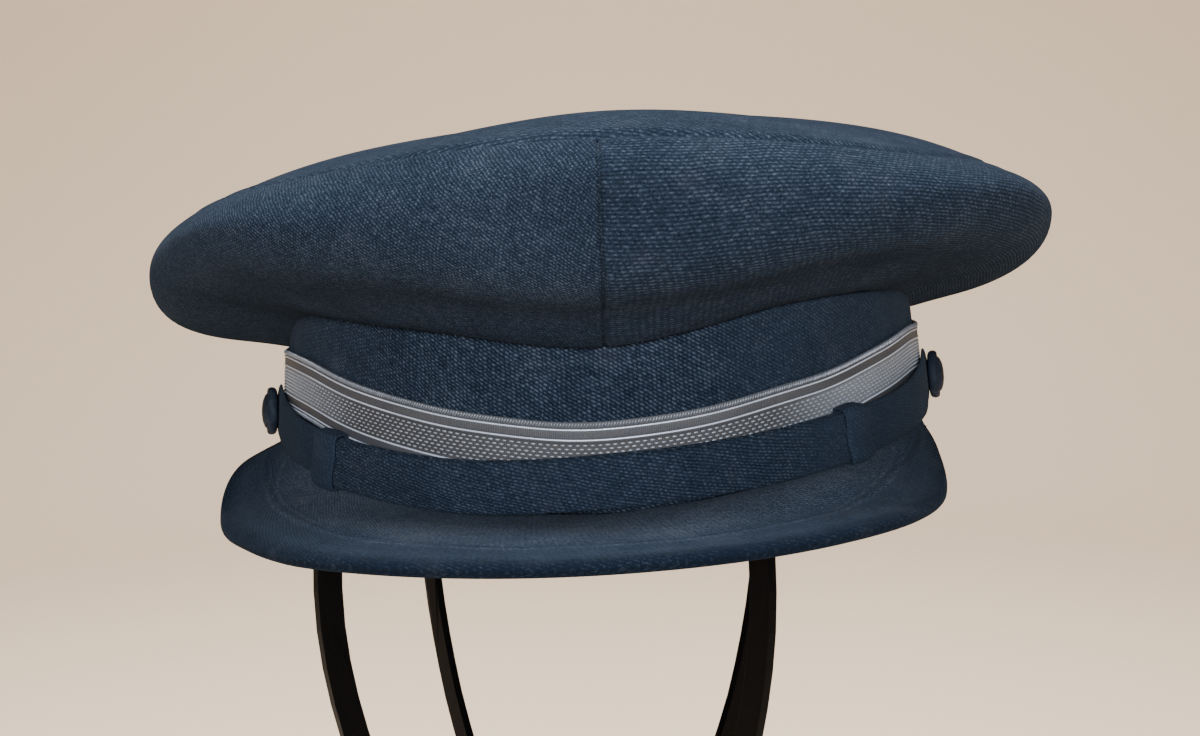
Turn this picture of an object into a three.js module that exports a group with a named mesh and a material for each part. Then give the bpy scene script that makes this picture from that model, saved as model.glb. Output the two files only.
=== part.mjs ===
// A military peaked cap resting on a plain folding hat stand.
// Millimetres, +Z up. The front of the cap faces -Y, and +X is to the right of someone facing it.
// The origin is the middle of the stand's underside.

import * as THREE from "three";
import { mergeVertices } from "three/addons/utils/BufferGeometryUtils.js";

// Clear distance between pieces that touch on the real cap
const GAP = 0.3;

// The band round the head
const BAND_HALF_WIDTH = 88.5;
const BAND_HALF_LENGTH = 97.5;
const BAND_TAPER = 4.3;
const BAND_WALL = 2.4;
const BAND_FRONT_HEIGHT = 40.2;
const ROUND_STEPS = 72;

// The crown
const CROWN_HEIGHT = 85.2;
const CROWN_OVERHANG = 36.5;
const CLOTH = 2;
const CROWN_CENTRE_HEIGHT = 79.6;
const QUARTER_STEPS = 18;
const PROFILE_STEPS = 12;
const TOP_STEPS = 8;

// The lace round the band
const LACE_WIDTH = 15.2;
const LACE_HEIGHT = 10;
const LACE_THICKNESS = 0.9;

// The peak
const VISOR_LENGTH = 43;
const VISOR_RISE = 7.3;
const VISOR_DROP = 6.3;
const VISOR_THICKNESS = 3;
const VISOR_HALF_ANGLE = 75;
const VISOR_STEPS = 30;
const VISOR_ROWS = 6;

// The chin strap, of two layers held together by two keepers, and its buttons
const STRAP_WIDTH = 11.6;
const STRAP_END_WIDTH = 14;
const STRAP_HEIGHT = 8.4;
const STRAP_THICKNESS = 1.3;
const STRAP_STEPS = 24;
const STRAP_END_STEPS = 5;
const KEEPER_ANGLE_LEFT = 43.5;
const KEEPER_ANGLE_RIGHT = 36.5;
const KEEPER_WIDTH = 8.5;
const KEEPER_WALL = 0.7;
const BUTTON_ANGLE = 74;
const BUTTON_RADIUS = 6.4;
const BUTTON_THICKNESS = 4;

// A button's outline from the middle of its underside to its top, in shares of its own sizes
const BUTTON_PROFILE = [
  { radius: 0, height: 0 },
  { radius: 0.8, height: 0 },
  { radius: 1, height: 0.3 },
  { radius: 0.94, height: 0.62 },
  { radius: 0.6, height: 0.92 },
  { radius: 0, height: 1 },
];
const BUTTON_STEPS = 24;

// How the cap sits on its stand: turned, tipped forward and sideways, and moved off its middle
const CAP_TURN = 0.6;
const CAP_TILT = 9.7;
const CAP_ROLL = 1;
const CAP_SHIFT = 10.4;
const CAP_FORWARD = 2.5;

// The folding stand: two flat frames that cross, on a round base
const STAND_HEIGHT = 329.6;
const STAND_RADIUS = 82;
const FRAME_WALL = 7;
const FRAME_THICKNESS = 2.6;
const FRAME_TURN = 38.5;
const BASE_RADIUS = 88;
const BASE_THICKNESS = 4;
const TAB_WIDTH = 10;
const FRAME_STEPS = 44;

// Directions are seen from above, from the front toward +X, in degrees. Overhangs are shares of
// CROWN_OVERHANG and heights shares of CROWN_HEIGHT. Lift is the slope of the cloth where it
// leaves the band, and fullness rounds the lobe.
const CROWN_LOBES = [
  { at: "front", angle: 0, reach: 0.72, widest: 0.76, lift: 56, fullness: 0.5 },
  { at: "front right", angle: 45, reach: 0.92, widest: 0.77, lift: 42, fullness: 0.33 },
  { at: "right", angle: 90, reach: 0.98, widest: 0.54, lift: 15, fullness: 0.38 },
  { at: "back right", angle: 135, reach: 0.945, widest: 0.51, lift: 1.6, fullness: 0.42 },
  { at: "back", angle: 180, reach: 0.8, widest: 0.48, lift: 14, fullness: 0.4 },
  { at: "back left", angle: 225, reach: 0.935, widest: 0.41, lift: -2.8, fullness: 0.42 },
  { at: "left", angle: 270, reach: 0.93, widest: 0.41, lift: 11, fullness: 0.34 },
  { at: "front left", angle: 315, reach: 0.91, widest: 0.755, lift: 38, fullness: 0.3 },
];

// The seam between the quarters and the top, and the slope of the cloth as it crosses it
const CROWN_RIM = [
  { at: "front", angle: 0, seam: 0.46, rim: 0.987, roll: 15 },
  { at: "front right", angle: 45, seam: 0.55, rim: 0.868, roll: 19 },
  { at: "right", angle: 90, seam: 0.57, rim: 0.72, roll: 31 },
  { at: "back right", angle: 135, seam: 0.46, rim: 0.746, roll: 21 },
  { at: "back", angle: 180, seam: 0.5, rim: 0.675, roll: 22 },
  { at: "back left", angle: 225, seam: 0.48, rim: 0.613, roll: 22 },
  { at: "left", angle: 270, seam: 0.5, rim: 0.68, roll: 28.6 },
  { at: "front left", angle: 315, seam: 0.456, rim: 0.855, roll: 12 },
];

// Height of the band's top edge all the way round, as a share of BAND_FRONT_HEIGHT
const BAND_STATIONS = [
  { at: "front seam", angle: 0, height: 0.93 },
  { at: "front right", angle: 28, height: 1.08 },
  { at: "right corner", angle: 60, height: 0.92 },
  { at: "right", angle: 90, height: 0.6 },
  { at: "back right", angle: 135, height: 0.66 },
  { at: "back", angle: 180, height: 0.7 },
  { at: "back left", angle: 225, height: 0.62 },
  { at: "behind the left side", angle: 255, height: 0.54 },
  { at: "left", angle: 270, height: 0.49 },
  { at: "left corner", angle: 300, height: 0.91 },
  { at: "front left", angle: 332, height: 1.013 },
];

// Height of the lace's lower edge all the way round, as a share of LACE_HEIGHT
const LACE_STATIONS = [
  { at: "front", angle: 0, height: 0.55 },
  { at: "front right", angle: 30, height: 1 },
  { at: "right corner", angle: 60, height: 1.2 },
  { at: "right", angle: 90, height: 0.55 },
  { at: "back right", angle: 120, height: 0.45 },
  { at: "back", angle: 180, height: 0.5 },
  { at: "back left", angle: 240, height: 0.4 },
  { at: "left", angle: 270, height: 0.45 },
  { at: "left corner", angle: 300, height: 1.15 },
  { at: "front left", angle: 330, height: 0.88 },
];

// Height of the strap's middle from its left button to its right one, as a share of STRAP_HEIGHT
const STRAP_STATIONS = [
  { at: "left button", angle: -75, height: 0.85 },
  { at: "left keeper", angle: -45, height: 0.8 },
  { at: "front left", angle: -20, height: 0.77 },
  { at: "front", angle: 0, height: 1 },
  { at: "front right", angle: 20, height: 1.15 },
  { at: "right keeper", angle: 45, height: 1.26 },
  { at: "right button", angle: 75, height: 1.18 },
];

// The peak's edge from one end to the other, a little lopsided: reach is a share of
// VISOR_LENGTH, and level runs from 1, VISOR_RISE above the band's edge, to -1, VISOR_DROP below.
const VISOR_STATIONS = [
  { at: "left end", angle: -75, reach: 0, level: 0 },
  { at: "left side", angle: -66, reach: 0.34, level: -0.35 },
  { at: "left corner", angle: -54, reach: 0.585, level: -1.1 },
  { at: "left shoulder", angle: -40, reach: 0.76, level: -0.5 },
  { at: "front left", angle: -20, reach: 1, level: 0.56 },
  { at: "front", angle: 0, reach: 1.03, level: 0.9 },
  { at: "front right", angle: 20, reach: 0.9, level: 0.7 },
  { at: "right shoulder", angle: 40, reach: 0.565, level: -0.1 },
  { at: "right corner", angle: 54, reach: 0.24, level: -0.5 },
  { at: "right side", angle: 66, reach: 0.02, level: -0.3 },
  { at: "right end", angle: 75, reach: 0, level: 0 },
];

// The outline of half a stand frame: radius as a share of STAND_RADIUS, height of STAND_HEIGHT
const FRAME_STATIONS = [
  { at: "foot", radius: 0.94, height: 0 },
  { at: "ankle", radius: 0.62, height: 0.09 },
  { at: "neck", radius: 0.44, height: 0.2 },
  { at: "shoulder", radius: 0.6, height: 0.32 },
  { at: "bowl", radius: 0.87, height: 0.46 },
  { at: "widest", radius: 1, height: 0.61 },
  { at: "above the bowl", radius: 0.93, height: 0.77 },
  { at: "under the arch", radius: 0.7, height: 0.9 },
  { at: "arch", radius: 0.36, height: 0.977 },
  { at: "top", radius: 0, height: 1 },
];

const WOOL = new THREE.MeshStandardMaterial({ color: 0x2b3140, roughness: 0.95, metalness: 0 });
const SILVER_LACE = new THREE.MeshStandardMaterial({ color: 0xc9cbd0, roughness: 0.55, metalness: 0.4 });
const DARK_ENAMEL = new THREE.MeshStandardMaterial({ color: 0x1f2836, roughness: 0.4, metalness: 0.3 });
const STAND_PLASTIC = new THREE.MeshStandardMaterial({ color: 0x101113, roughness: 0.45, metalness: 0 });

const radians = THREE.MathUtils.degToRad;

// A smooth function of position through the rows of a table; the ends join if it goes round
function through(rows, position, columns, goesRound = false) {
  let stations = rows;
  if (goesRound) {
    const first = rows[0];
    const last = rows[rows.length - 1];
    stations = [
      { ...last, [position]: last[position] - 360 },
      ...rows,
      { ...first, [position]: first[position] + 360 },
      { ...rows[1], [position]: rows[1][position] + 360 },
    ];
  }
  const positions = stations.map((row) => row[position]);
  const values = stations.flatMap((row) => columns.map((column) => row[column]));
  const curve = new THREE.CubicInterpolant(positions, values, columns.length);
  return (at) => {
    const found = curve.evaluate(at);
    return Object.fromEntries(columns.map((column, i) => [column, found[i]]));
  };
}

const lobeAt = through(CROWN_LOBES, "angle", ["reach", "widest", "lift", "fullness"], true);
const rimAt = through(CROWN_RIM, "angle", ["seam", "rim", "roll"], true);
const bandAt = through(BAND_STATIONS, "angle", ["height"], true);
const laceAt = through(LACE_STATIONS, "angle", ["height"], true);
const strapAt = through(STRAP_STATIONS, "angle", ["height"]);
const visorAt = through(VISOR_STATIONS, "angle", ["reach", "level"]);

// Evenly spaced values, both ends included
function spaced(start, end, steps) {
  return Array.from({ length: steps + 1 }, (_, i) => start + ((end - start) * i) / steps);
}

// The same direction between 0 and 360
function wrapped(angle) {
  return THREE.MathUtils.euclideanModulo(angle, 360);
}

// How far the band leans in for each millimetre of height
const BAND_SLOPE = BAND_TAPER / BAND_FRONT_HEIGHT;

// Outside of the band, which narrows upward
function bandRadius(angle, height = 0) {
  const across = Math.sin(radians(angle)) / BAND_HALF_WIDTH;
  const along = Math.cos(radians(angle)) / BAND_HALF_LENGTH;
  return 1 / Math.hypot(across, along) - BAND_SLOPE * height;
}

function bandTop(angle) {
  return BAND_FRONT_HEIGHT * bandAt(wrapped(angle)).height;
}

// A point given by its direction, its distance from the cap's axis and its height
function polar(angle, radius, height) {
  return new THREE.Vector3(radius * Math.sin(radians(angle)), -radius * Math.cos(radians(angle)), height);
}

// One closed geometry from loose triangles, without those that have no area
function closedGeometry(corners) {
  const loose = new THREE.BufferGeometry();
  loose.setAttribute("position", new THREE.Float32BufferAttribute(corners.flatMap((p) => p.toArray()), 3));
  const merged = mergeVertices(loose, 1e-4);
  const index = merged.getIndex().array;
  const kept = [];
  for (let i = 0; i < index.length; i += 3) {
    const [a, b, c] = index.slice(i, i + 3);
    if (a !== b && b !== c && c !== a) kept.push(a, b, c);
  }
  merged.setIndex(kept);
  merged.computeVertexNormals();
  return merged;
}

// The way out of a surface at (u, v), or up where the surface has no direction of its own
function outward(surface, u, v) {
  const step = 1e-3;
  const alongU = surface(u + step, v).sub(surface(u - step, v));
  const alongV = surface(u, v + step).sub(surface(u, v - step));
  const normal = alongU.cross(alongV);
  return normal.length() < 1e-9 ? new THREE.Vector3(0, 0, 1) : normal.normalize();
}

// A wall of even thickness behind a surface, as one closed solid. The surface faces out when v
// points up and u to the right. A wall that goes round joins its last column to its first.
function wall(surface, columns, rows, thickness, goesRound = false) {
  const front = columns.map((u) => rows.map((v) => surface(u, v)));
  const back = columns.map((u, i) =>
    rows.map((v, j) => front[i][j].clone().addScaledVector(outward(surface, u, v), -thickness)),
  );
  const corners = [];
  const quad = (a, b, c, d) => corners.push(a, b, c, a, c, d);
  const lastRow = rows.length - 1;
  const lastColumn = columns.length - 1;
  const spans = goesRound ? columns.length : lastColumn;
  for (let i = 0; i < spans; i += 1) {
    const next = (i + 1) % columns.length;
    for (let j = 0; j < lastRow; j += 1) {
      quad(front[i][j], front[next][j], front[next][j + 1], front[i][j + 1]);
      quad(back[i][j], back[i][j + 1], back[next][j + 1], back[next][j]);
    }
    quad(front[i][0], back[i][0], back[next][0], front[next][0]);
    quad(front[i][lastRow], front[next][lastRow], back[next][lastRow], back[i][lastRow]);
  }
  if (!goesRound) {
    for (let j = 0; j < lastRow; j += 1) {
      quad(front[0][j], front[0][j + 1], back[0][j + 1], back[0][j]);
      quad(front[lastColumn][j], back[lastColumn][j], back[lastColumn][j + 1], front[lastColumn][j + 1]);
    }
  }
  return closedGeometry(corners);
}

function piece(name, geometry, material) {
  const mesh = new THREE.Mesh(geometry, material);
  mesh.name = name;
  return mesh;
}

// The directions of the columns of a wall that goes all the way round
const allRound = spaced(0, 360, ROUND_STEPS).slice(0, -1);

// Where the cloth of the crown leaves the band, is widest, and meets the top
function crownProfile(angle) {
  const row = { ...lobeAt(wrapped(angle)), ...rimAt(wrapped(angle)) };
  const edge = bandRadius(angle, bandTop(angle));
  const start = new THREE.Vector2(edge - BAND_WALL / 2, bandTop(angle) + GAP);
  const widest = new THREE.Vector2(edge + CROWN_OVERHANG * row.reach, CROWN_HEIGHT * row.widest);
  const seam = new THREE.Vector2(edge + CROWN_OVERHANG * row.seam, CROWN_HEIGHT * row.rim);
  const lift = new THREE.Vector2(Math.cos(radians(row.lift)), Math.sin(radians(row.lift)));
  const inward = new THREE.Vector2(-Math.cos(radians(row.roll)), Math.sin(radians(row.roll)));
  return { start, widest, seam, lift, inward, slope: Math.tan(radians(row.roll)), fullness: row.fullness };
}

// Two curves that meet upright at the widest point
function quarterSurface(angle, along) {
  const { start, widest, seam, lift, inward, fullness } = crownProfile(angle);
  const lower = start.distanceTo(widest) * fullness;
  const upper = widest.distanceTo(seam) * fullness;
  const up = new THREE.Vector2(0, 1);
  const under = new THREE.CubicBezierCurve(
    start,
    start.clone().addScaledVector(lift, lower),
    widest.clone().addScaledVector(up, -lower),
    widest,
  );
  const over = new THREE.CubicBezierCurve(
    widest,
    widest.clone().addScaledVector(up, upper),
    seam.clone().addScaledVector(inward, -upper),
    seam,
  );
  const point = along < 0.5 ? under.getPoint(along * 2) : over.getPoint(along * 2 - 1);
  return polar(angle, point.x, point.y);
}

// The top: level in the middle, and meeting the quarters at their own slope
function topSurface(angle, inwardShare) {
  const { seam, slope } = crownProfile(angle);
  const share = 1 - inwardShare;
  const square = share * share;
  const fall = seam.y - CROWN_CENTRE_HEIGHT;
  const pillow = (seam.x * slope + 2 * fall) / 2;
  const height = CROWN_CENTRE_HEIGHT + fall * square + pillow * square * (1 - square);
  return polar(angle, seam.x * share, height);
}

function crownQuarter(name, firstAngle) {
  const trim = THREE.MathUtils.radToDeg(GAP / 2 / BAND_HALF_LENGTH);
  const columns = spaced(firstAngle + trim, firstAngle + 90 - trim, QUARTER_STEPS);
  return piece(name, wall(quarterSurface, columns, spaced(0, 1, PROFILE_STEPS), CLOTH), WOOL);
}

function crownTop() {
  const rows = spaced(GAP / BAND_HALF_WIDTH, 1, TOP_STEPS);
  return piece("crown_top", wall(topSurface, allRound, rows, CLOTH, true), WOOL);
}

function band() {
  const surface = (angle, share) => {
    const height = bandTop(angle) * share;
    return polar(angle, bandRadius(angle, height), height);
  };
  return piece("band", wall(surface, allRound, [0, 0.5, 1], BAND_WALL, true), WOOL);
}

const LACE_OUTSIDE = GAP + LACE_THICKNESS;

function laceBand() {
  const surface = (angle, share) => {
    const height = LACE_HEIGHT * laceAt(wrapped(angle)).height + LACE_WIDTH * share;
    return polar(angle, bandRadius(angle, height) + LACE_OUTSIDE, height);
  };
  return piece("lace_band", wall(surface, allRound, [0, 1], LACE_THICKNESS, true), SILVER_LACE);
}

// From the peak's edge to its root under the band
function visorSurface(angle, share) {
  const { reach, level } = visorAt(angle);
  const root = bandRadius(angle) - BAND_WALL;
  const length = BAND_WALL + VISOR_LENGTH * Math.max(reach, 0);
  const rise = level > 0 ? VISOR_RISE * level : VISOR_DROP * level;
  const out = 1 - share;
  const clear = Math.max(0, (out * length - BAND_WALL) / Math.max(length - BAND_WALL, 1));
  return polar(angle, root + length * out, rise * clear - GAP);
}

function visor() {
  const columns = spaced(-VISOR_HALF_ANGLE, VISOR_HALF_ANGLE, VISOR_STEPS);
  const rows = spaced(0, 1, VISOR_ROWS);
  return piece("visor", wall(visorSurface, columns, rows, VISOR_THICKNESS), WOOL);
}

// Distances outside the band at which the two layers of the strap lie between the keepers
const KEEPER_INSIDE = LACE_OUTSIDE + GAP + KEEPER_WALL;
const INNER_LAYER = KEEPER_INSIDE + GAP + STRAP_THICKNESS;
const OUTER_LAYER = INNER_LAYER + GAP + STRAP_THICKNESS;
const STRAP_AT_BUTTON = LACE_OUTSIDE + GAP + STRAP_THICKNESS;

const millimetre = THREE.MathUtils.radToDeg(1 / BAND_HALF_WIDTH);

function strapMiddle(angle) {
  return STRAP_HEIGHT * strapAt(angle).height;
}

// One layer of the strap: round at its button, and square past the far keeper. It settles onto
// the lace between its own keeper and the button.
function strapLayer(name, side, layer) {
  const own = side > 0 ? KEEPER_ANGLE_RIGHT : KEEPER_ANGLE_LEFT;
  const far = side > 0 ? KEEPER_ANGLE_LEFT : KEEPER_ANGLE_RIGHT;
  const keeperEnd = own + KEEPER_WIDTH * millimetre;
  const tip = BUTTON_ANGLE + (STRAP_END_WIDTH / 2) * millimetre;
  const surface = (angle, share) => {
    const along = angle * side;
    const ease = THREE.MathUtils.smoothstep(along, keeperEnd, BUTTON_ANGLE);
    const fromTip = Math.max(0, (tip - along) / millimetre);
    const half = THREE.MathUtils.lerp(STRAP_WIDTH, STRAP_END_WIDTH, ease) / 2;
    const round = fromTip < half ? Math.sqrt(half * half - (half - fromTip) ** 2) : half;
    const out = THREE.MathUtils.lerp(layer, STRAP_AT_BUTTON, ease);
    const height = strapMiddle(angle) + round * (2 * share - 1);
    return polar(angle, bandRadius(angle, height) + out, height);
  };
  const start = -far - (KEEPER_WIDTH / 2) * millimetre;
  const body = spaced(start, BUTTON_ANGLE - 1, STRAP_STEPS);
  const end = spaced(0, 90, STRAP_END_STEPS).map((turn) => {
    return THREE.MathUtils.lerp(BUTTON_ANGLE, tip, Math.sin(radians(turn)));
  });
  const columns = [...body, ...end].map((along) => along * side);
  if (side < 0) columns.reverse();
  return piece(name, wall(surface, columns, [0, 0.5, 1], STRAP_THICKNESS), WOOL);
}

// A flat loop round both layers of the strap, leaning as the band does
function keeper(name, angle) {
  const near = LACE_OUTSIDE + GAP;
  const far = OUTER_LAYER + GAP + KEEPER_WALL;
  const loop = (inset) => {
    const half = STRAP_WIDTH / 2 + GAP + KEEPER_WALL - inset;
    const low = strapMiddle(angle) - half;
    const high = strapMiddle(angle) + half;
    const corners = [[near + inset, low], [far - inset, low], [far - inset, high], [near + inset, high]];
    return corners.map(([out, height]) => new THREE.Vector2(out - BAND_SLOPE * height, height));
  };
  const outline = new THREE.Shape(loop(0));
  outline.holes.push(new THREE.Path(loop(KEEPER_WALL)));
  const geometry = new THREE.ExtrudeGeometry(outline, { depth: KEEPER_WIDTH, bevelEnabled: false });
  geometry.translate(0, 0, -KEEPER_WIDTH / 2);
  geometry.rotateX(Math.PI / 2);
  return standOut(piece(name, geometry, WOOL), angle, 0, 0);
}

// Puts a piece made along +X on the band, so that +X points straight out
function standOut(mesh, angle, height, out) {
  const ahead = polar(angle + 0.1, bandRadius(angle + 0.1), 0);
  const behind = polar(angle - 0.1, bandRadius(angle - 0.1), 0);
  mesh.position.copy(polar(angle, bandRadius(angle, height) + out, height));
  mesh.rotation.z = Math.atan2(ahead.y - behind.y, ahead.x - behind.x) - Math.PI / 2;
  return mesh;
}

// A domed button lying on the end of the strap
function button(name, angle) {
  const profile = BUTTON_PROFILE.map((row) => {
    return new THREE.Vector2(row.radius * BUTTON_RADIUS, row.height * BUTTON_THICKNESS);
  });
  const geometry = new THREE.LatheGeometry(profile, BUTTON_STEPS);
  geometry.rotateZ(-Math.PI / 2);
  geometry.rotateY(-Math.atan(BAND_SLOPE));
  return standOut(piece(name, geometry, DARK_ENAMEL), angle, strapMiddle(angle), STRAP_AT_BUTTON + GAP);
}

// Half of a stand frame's outline, from its foot to its top
const FRAME_FOOT = BASE_THICKNESS + GAP;
const frameCurve = new THREE.SplineCurve(
  FRAME_STATIONS.map((row) => {
    const height = FRAME_FOOT + row.height * (STAND_HEIGHT - FRAME_FOOT);
    return new THREE.Vector2(row.radius * STAND_RADIUS, height);
  }),
);

// The same curve moved inward by the frame's own depth, above the foot bar and beside the middle
function frameInside(middle) {
  const points = spaced(0, 1, FRAME_STEPS).map((share) => {
    const tangent = frameCurve.getTangent(share);
    const inward = new THREE.Vector2(-tangent.y, tangent.x);
    return frameCurve.getPoint(share).addScaledVector(inward, FRAME_WALL);
  });
  return points.filter((point) => point.y > FRAME_FOOT + FRAME_WALL && point.x > middle);
}

function mirrored(points) {
  return points.map((point) => new THREE.Vector2(-point.x, point.y)).reverse();
}

// One flat frame of the stand. It is halved into the other where they cross, at the top and in
// the foot bar, and a tab on each foot drops into the base.
function standFrame(name, turn, notchedFromAbove) {
  const side = FRAME_THICKNESS / 2 + GAP;
  const halfway = (FRAME_WALL + (notchedFromAbove ? -GAP : GAP)) / 2;
  const barTop = FRAME_FOOT + FRAME_WALL;
  const arch = STAND_HEIGHT - FRAME_WALL;
  const foot = frameCurve.getPoint(0).x;
  const outer = frameCurve.getPoints(FRAME_STEPS).filter((point) => point.x > side);
  const inner = frameInside(side);

  const right = [
    new THREE.Vector2(side, FRAME_FOOT),
    new THREE.Vector2(foot - TAB_WIDTH, FRAME_FOOT),
    new THREE.Vector2(foot - TAB_WIDTH, GAP),
    new THREE.Vector2(foot, GAP),
    ...outer,
    new THREE.Vector2(side, outer[outer.length - 1].y),
  ];
  const hole = [
    new THREE.Vector2(side, barTop),
    new THREE.Vector2(inner[0].x, barTop),
    ...inner,
    new THREE.Vector2(side, inner[inner.length - 1].y),
  ];
  if (notchedFromAbove) {
    right.push(new THREE.Vector2(side, arch + halfway));
    hole.unshift(new THREE.Vector2(side, FRAME_FOOT + halfway));
  } else {
    right.unshift(new THREE.Vector2(side, FRAME_FOOT + halfway));
    hole.push(new THREE.Vector2(side, arch + halfway));
  }
  const outline = new THREE.Shape([...right, ...mirrored(right)]);
  outline.holes.push(new THREE.Path([...hole, ...mirrored(hole)]));
  const geometry = new THREE.ExtrudeGeometry(outline, { depth: FRAME_THICKNESS, bevelEnabled: false });
  geometry.translate(0, 0, -FRAME_THICKNESS / 2);
  geometry.rotateX(Math.PI / 2);
  const mesh = piece(name, geometry, STAND_PLASTIC);
  mesh.rotation.z = radians(turn);
  return mesh;
}

// A round base with a slot for each of the four tabs
function standBase() {
  const outline = new THREE.Shape();
  outline.absarc(0, 0, BASE_RADIUS, 0, 2 * Math.PI);
  const foot = frameCurve.getPoint(0).x;
  const side = FRAME_THICKNESS / 2 + GAP;
  for (const turn of [0, 90, 180, 270]) {
    const slot = [
      new THREE.Vector2(foot - TAB_WIDTH - GAP, -side),
      new THREE.Vector2(foot - TAB_WIDTH - GAP, side),
      new THREE.Vector2(foot + GAP, side),
      new THREE.Vector2(foot + GAP, -side),
    ];
    const middle = new THREE.Vector2(0, 0);
    const turned = slot.map((point) => point.rotateAround(middle, radians(FRAME_TURN + turn)));
    outline.holes.push(new THREE.Path(turned));
  }
  const settings = { depth: BASE_THICKNESS, bevelEnabled: false, curveSegments: ROUND_STEPS };
  return piece("stand_base", new THREE.ExtrudeGeometry(outline, settings), STAND_PLASTIC);
}

// The height at which the inside of the cap's top comes to rest on the stand's frames
function restHeight(cap, top, frames) {
  cap.updateMatrixWorld(true);
  const upward = new THREE.Vector3(0, 0, 1);
  const clearances = frames.flatMap((frame) => {
    frame.updateMatrixWorld(true);
    const corners = frame.geometry.getAttribute("position");
    const found = [];
    for (let i = 0; i < corners.count; i += 1) {
      const corner = new THREE.Vector3().fromBufferAttribute(corners, i).applyMatrix4(frame.matrixWorld);
      if (corner.z < STAND_HEIGHT - CROWN_HEIGHT) continue;
      const below = new THREE.Vector3(corner.x, corner.y, -STAND_HEIGHT);
      const hit = new THREE.Raycaster(below, upward).intersectObject(top)[0];
      found.push(hit.point.z - corner.z);
    }
    return found;
  });
  return GAP - Math.min(...clearances);
}

const top = crownTop();
const cap = new THREE.Group();
cap.add(
  top,
  crownQuarter("crown_front_right", 0),
  crownQuarter("crown_back_right", 90),
  crownQuarter("crown_back_left", 180),
  crownQuarter("crown_front_left", 270),
  band(),
  laceBand(),
  visor(),
  strapLayer("chin_strap_left", -1, INNER_LAYER),
  strapLayer("chin_strap_right", 1, OUTER_LAYER),
  keeper("strap_keeper_left", -KEEPER_ANGLE_LEFT),
  keeper("strap_keeper_right", KEEPER_ANGLE_RIGHT),
  button("side_button_left", -BUTTON_ANGLE),
  button("side_button_right", BUTTON_ANGLE),
);
cap.rotation.set(radians(CAP_TILT), radians(-CAP_ROLL), radians(CAP_TURN), "ZXY");
cap.position.set(CAP_SHIFT, -CAP_FORWARD, 0);

const frames = [
  standFrame("stand_frame_a", FRAME_TURN, true),
  standFrame("stand_frame_b", FRAME_TURN + 90, false),
];
cap.position.z = restHeight(cap, top, frames);

const group = new THREE.Group();
group.add(cap, standBase(), ...frames);

export default group;
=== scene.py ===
"""A military peaked cap in dark wool serge on a black folding hat stand, in a plain studio.

Sizes are in metres, +Z is up, and the cap's peak points toward -Y. The cap's own pieces are
worked out in the cap's frame, where angle 0 is the front and +90 is toward +X, and are then put
where the cap sits on its stand.
"""

import math

import bpy
import numpy as np
from mathutils import Matrix, Vector


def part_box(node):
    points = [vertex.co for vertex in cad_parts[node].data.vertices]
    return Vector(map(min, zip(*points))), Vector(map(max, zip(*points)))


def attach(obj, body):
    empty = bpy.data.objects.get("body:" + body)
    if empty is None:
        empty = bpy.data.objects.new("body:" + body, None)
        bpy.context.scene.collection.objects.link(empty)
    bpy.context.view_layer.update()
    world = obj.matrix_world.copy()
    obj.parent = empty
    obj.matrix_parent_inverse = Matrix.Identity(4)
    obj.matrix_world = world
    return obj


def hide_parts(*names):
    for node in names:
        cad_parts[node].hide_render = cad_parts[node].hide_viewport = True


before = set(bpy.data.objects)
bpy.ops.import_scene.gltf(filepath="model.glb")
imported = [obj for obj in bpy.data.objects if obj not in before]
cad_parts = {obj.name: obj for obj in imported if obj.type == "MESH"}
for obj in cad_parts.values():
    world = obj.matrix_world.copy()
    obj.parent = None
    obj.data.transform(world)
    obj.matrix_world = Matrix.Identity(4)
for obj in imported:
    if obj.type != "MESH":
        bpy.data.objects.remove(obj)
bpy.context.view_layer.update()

bl_info = {
    "name": "Peaked Cap on a Stand",
    "version": (1, 0, 0),
    "blender": (4, 5, 0),
    "location": "View3D > Sidebar > Peaked Cap",
    "description": "Builds the cloth, lace, strap and stand of a military peaked cap",
    "category": "Object",
}

MM = 0.001
GAP = 0.3 * MM

# The band round the head
BAND_HALF_WIDTH = 88.5 * MM
BAND_HALF_LENGTH = 97.5 * MM
BAND_TAPER = 4.3 * MM
BAND_WALL = 2.4 * MM
BAND_FRONT_HEIGHT = 40.2 * MM
BAND_SLOPE = BAND_TAPER / BAND_FRONT_HEIGHT

# The crown
CROWN_HEIGHT = 85.2 * MM
CROWN_OVERHANG = 36.5 * MM
CROWN_CENTRE_HEIGHT = 79.6 * MM
CLOTH = 2 * MM
FRONT_FILL = 3 * MM
SEAM_OVERLAP = 0.03 * MM

# The lace, from its lower edge up
LACE_WIDTH = 15.2 * MM
LACE_HEIGHT = 10 * MM
LACE_THICKNESS = 0.9 * MM
LACE_OUTSIDE = GAP + LACE_THICKNESS
LACE_CORDS = (1.7 * MM, 4.0 * MM, 11.2 * MM, 13.5 * MM)
LACE_BRAID_MIDDLE = 0.62 * MM

# The peak
VISOR_LENGTH = 43 * MM
VISOR_RISE = 7.3 * MM
VISOR_DROP = 6.3 * MM
VISOR_THICKNESS = 3 * MM
VISOR_HALF_ANGLE = 75
VISOR_RIM_ROWS = 4
STITCH_INSET = 1.9 * MM
ROOT_CLIMB = 4 * MM

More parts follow.
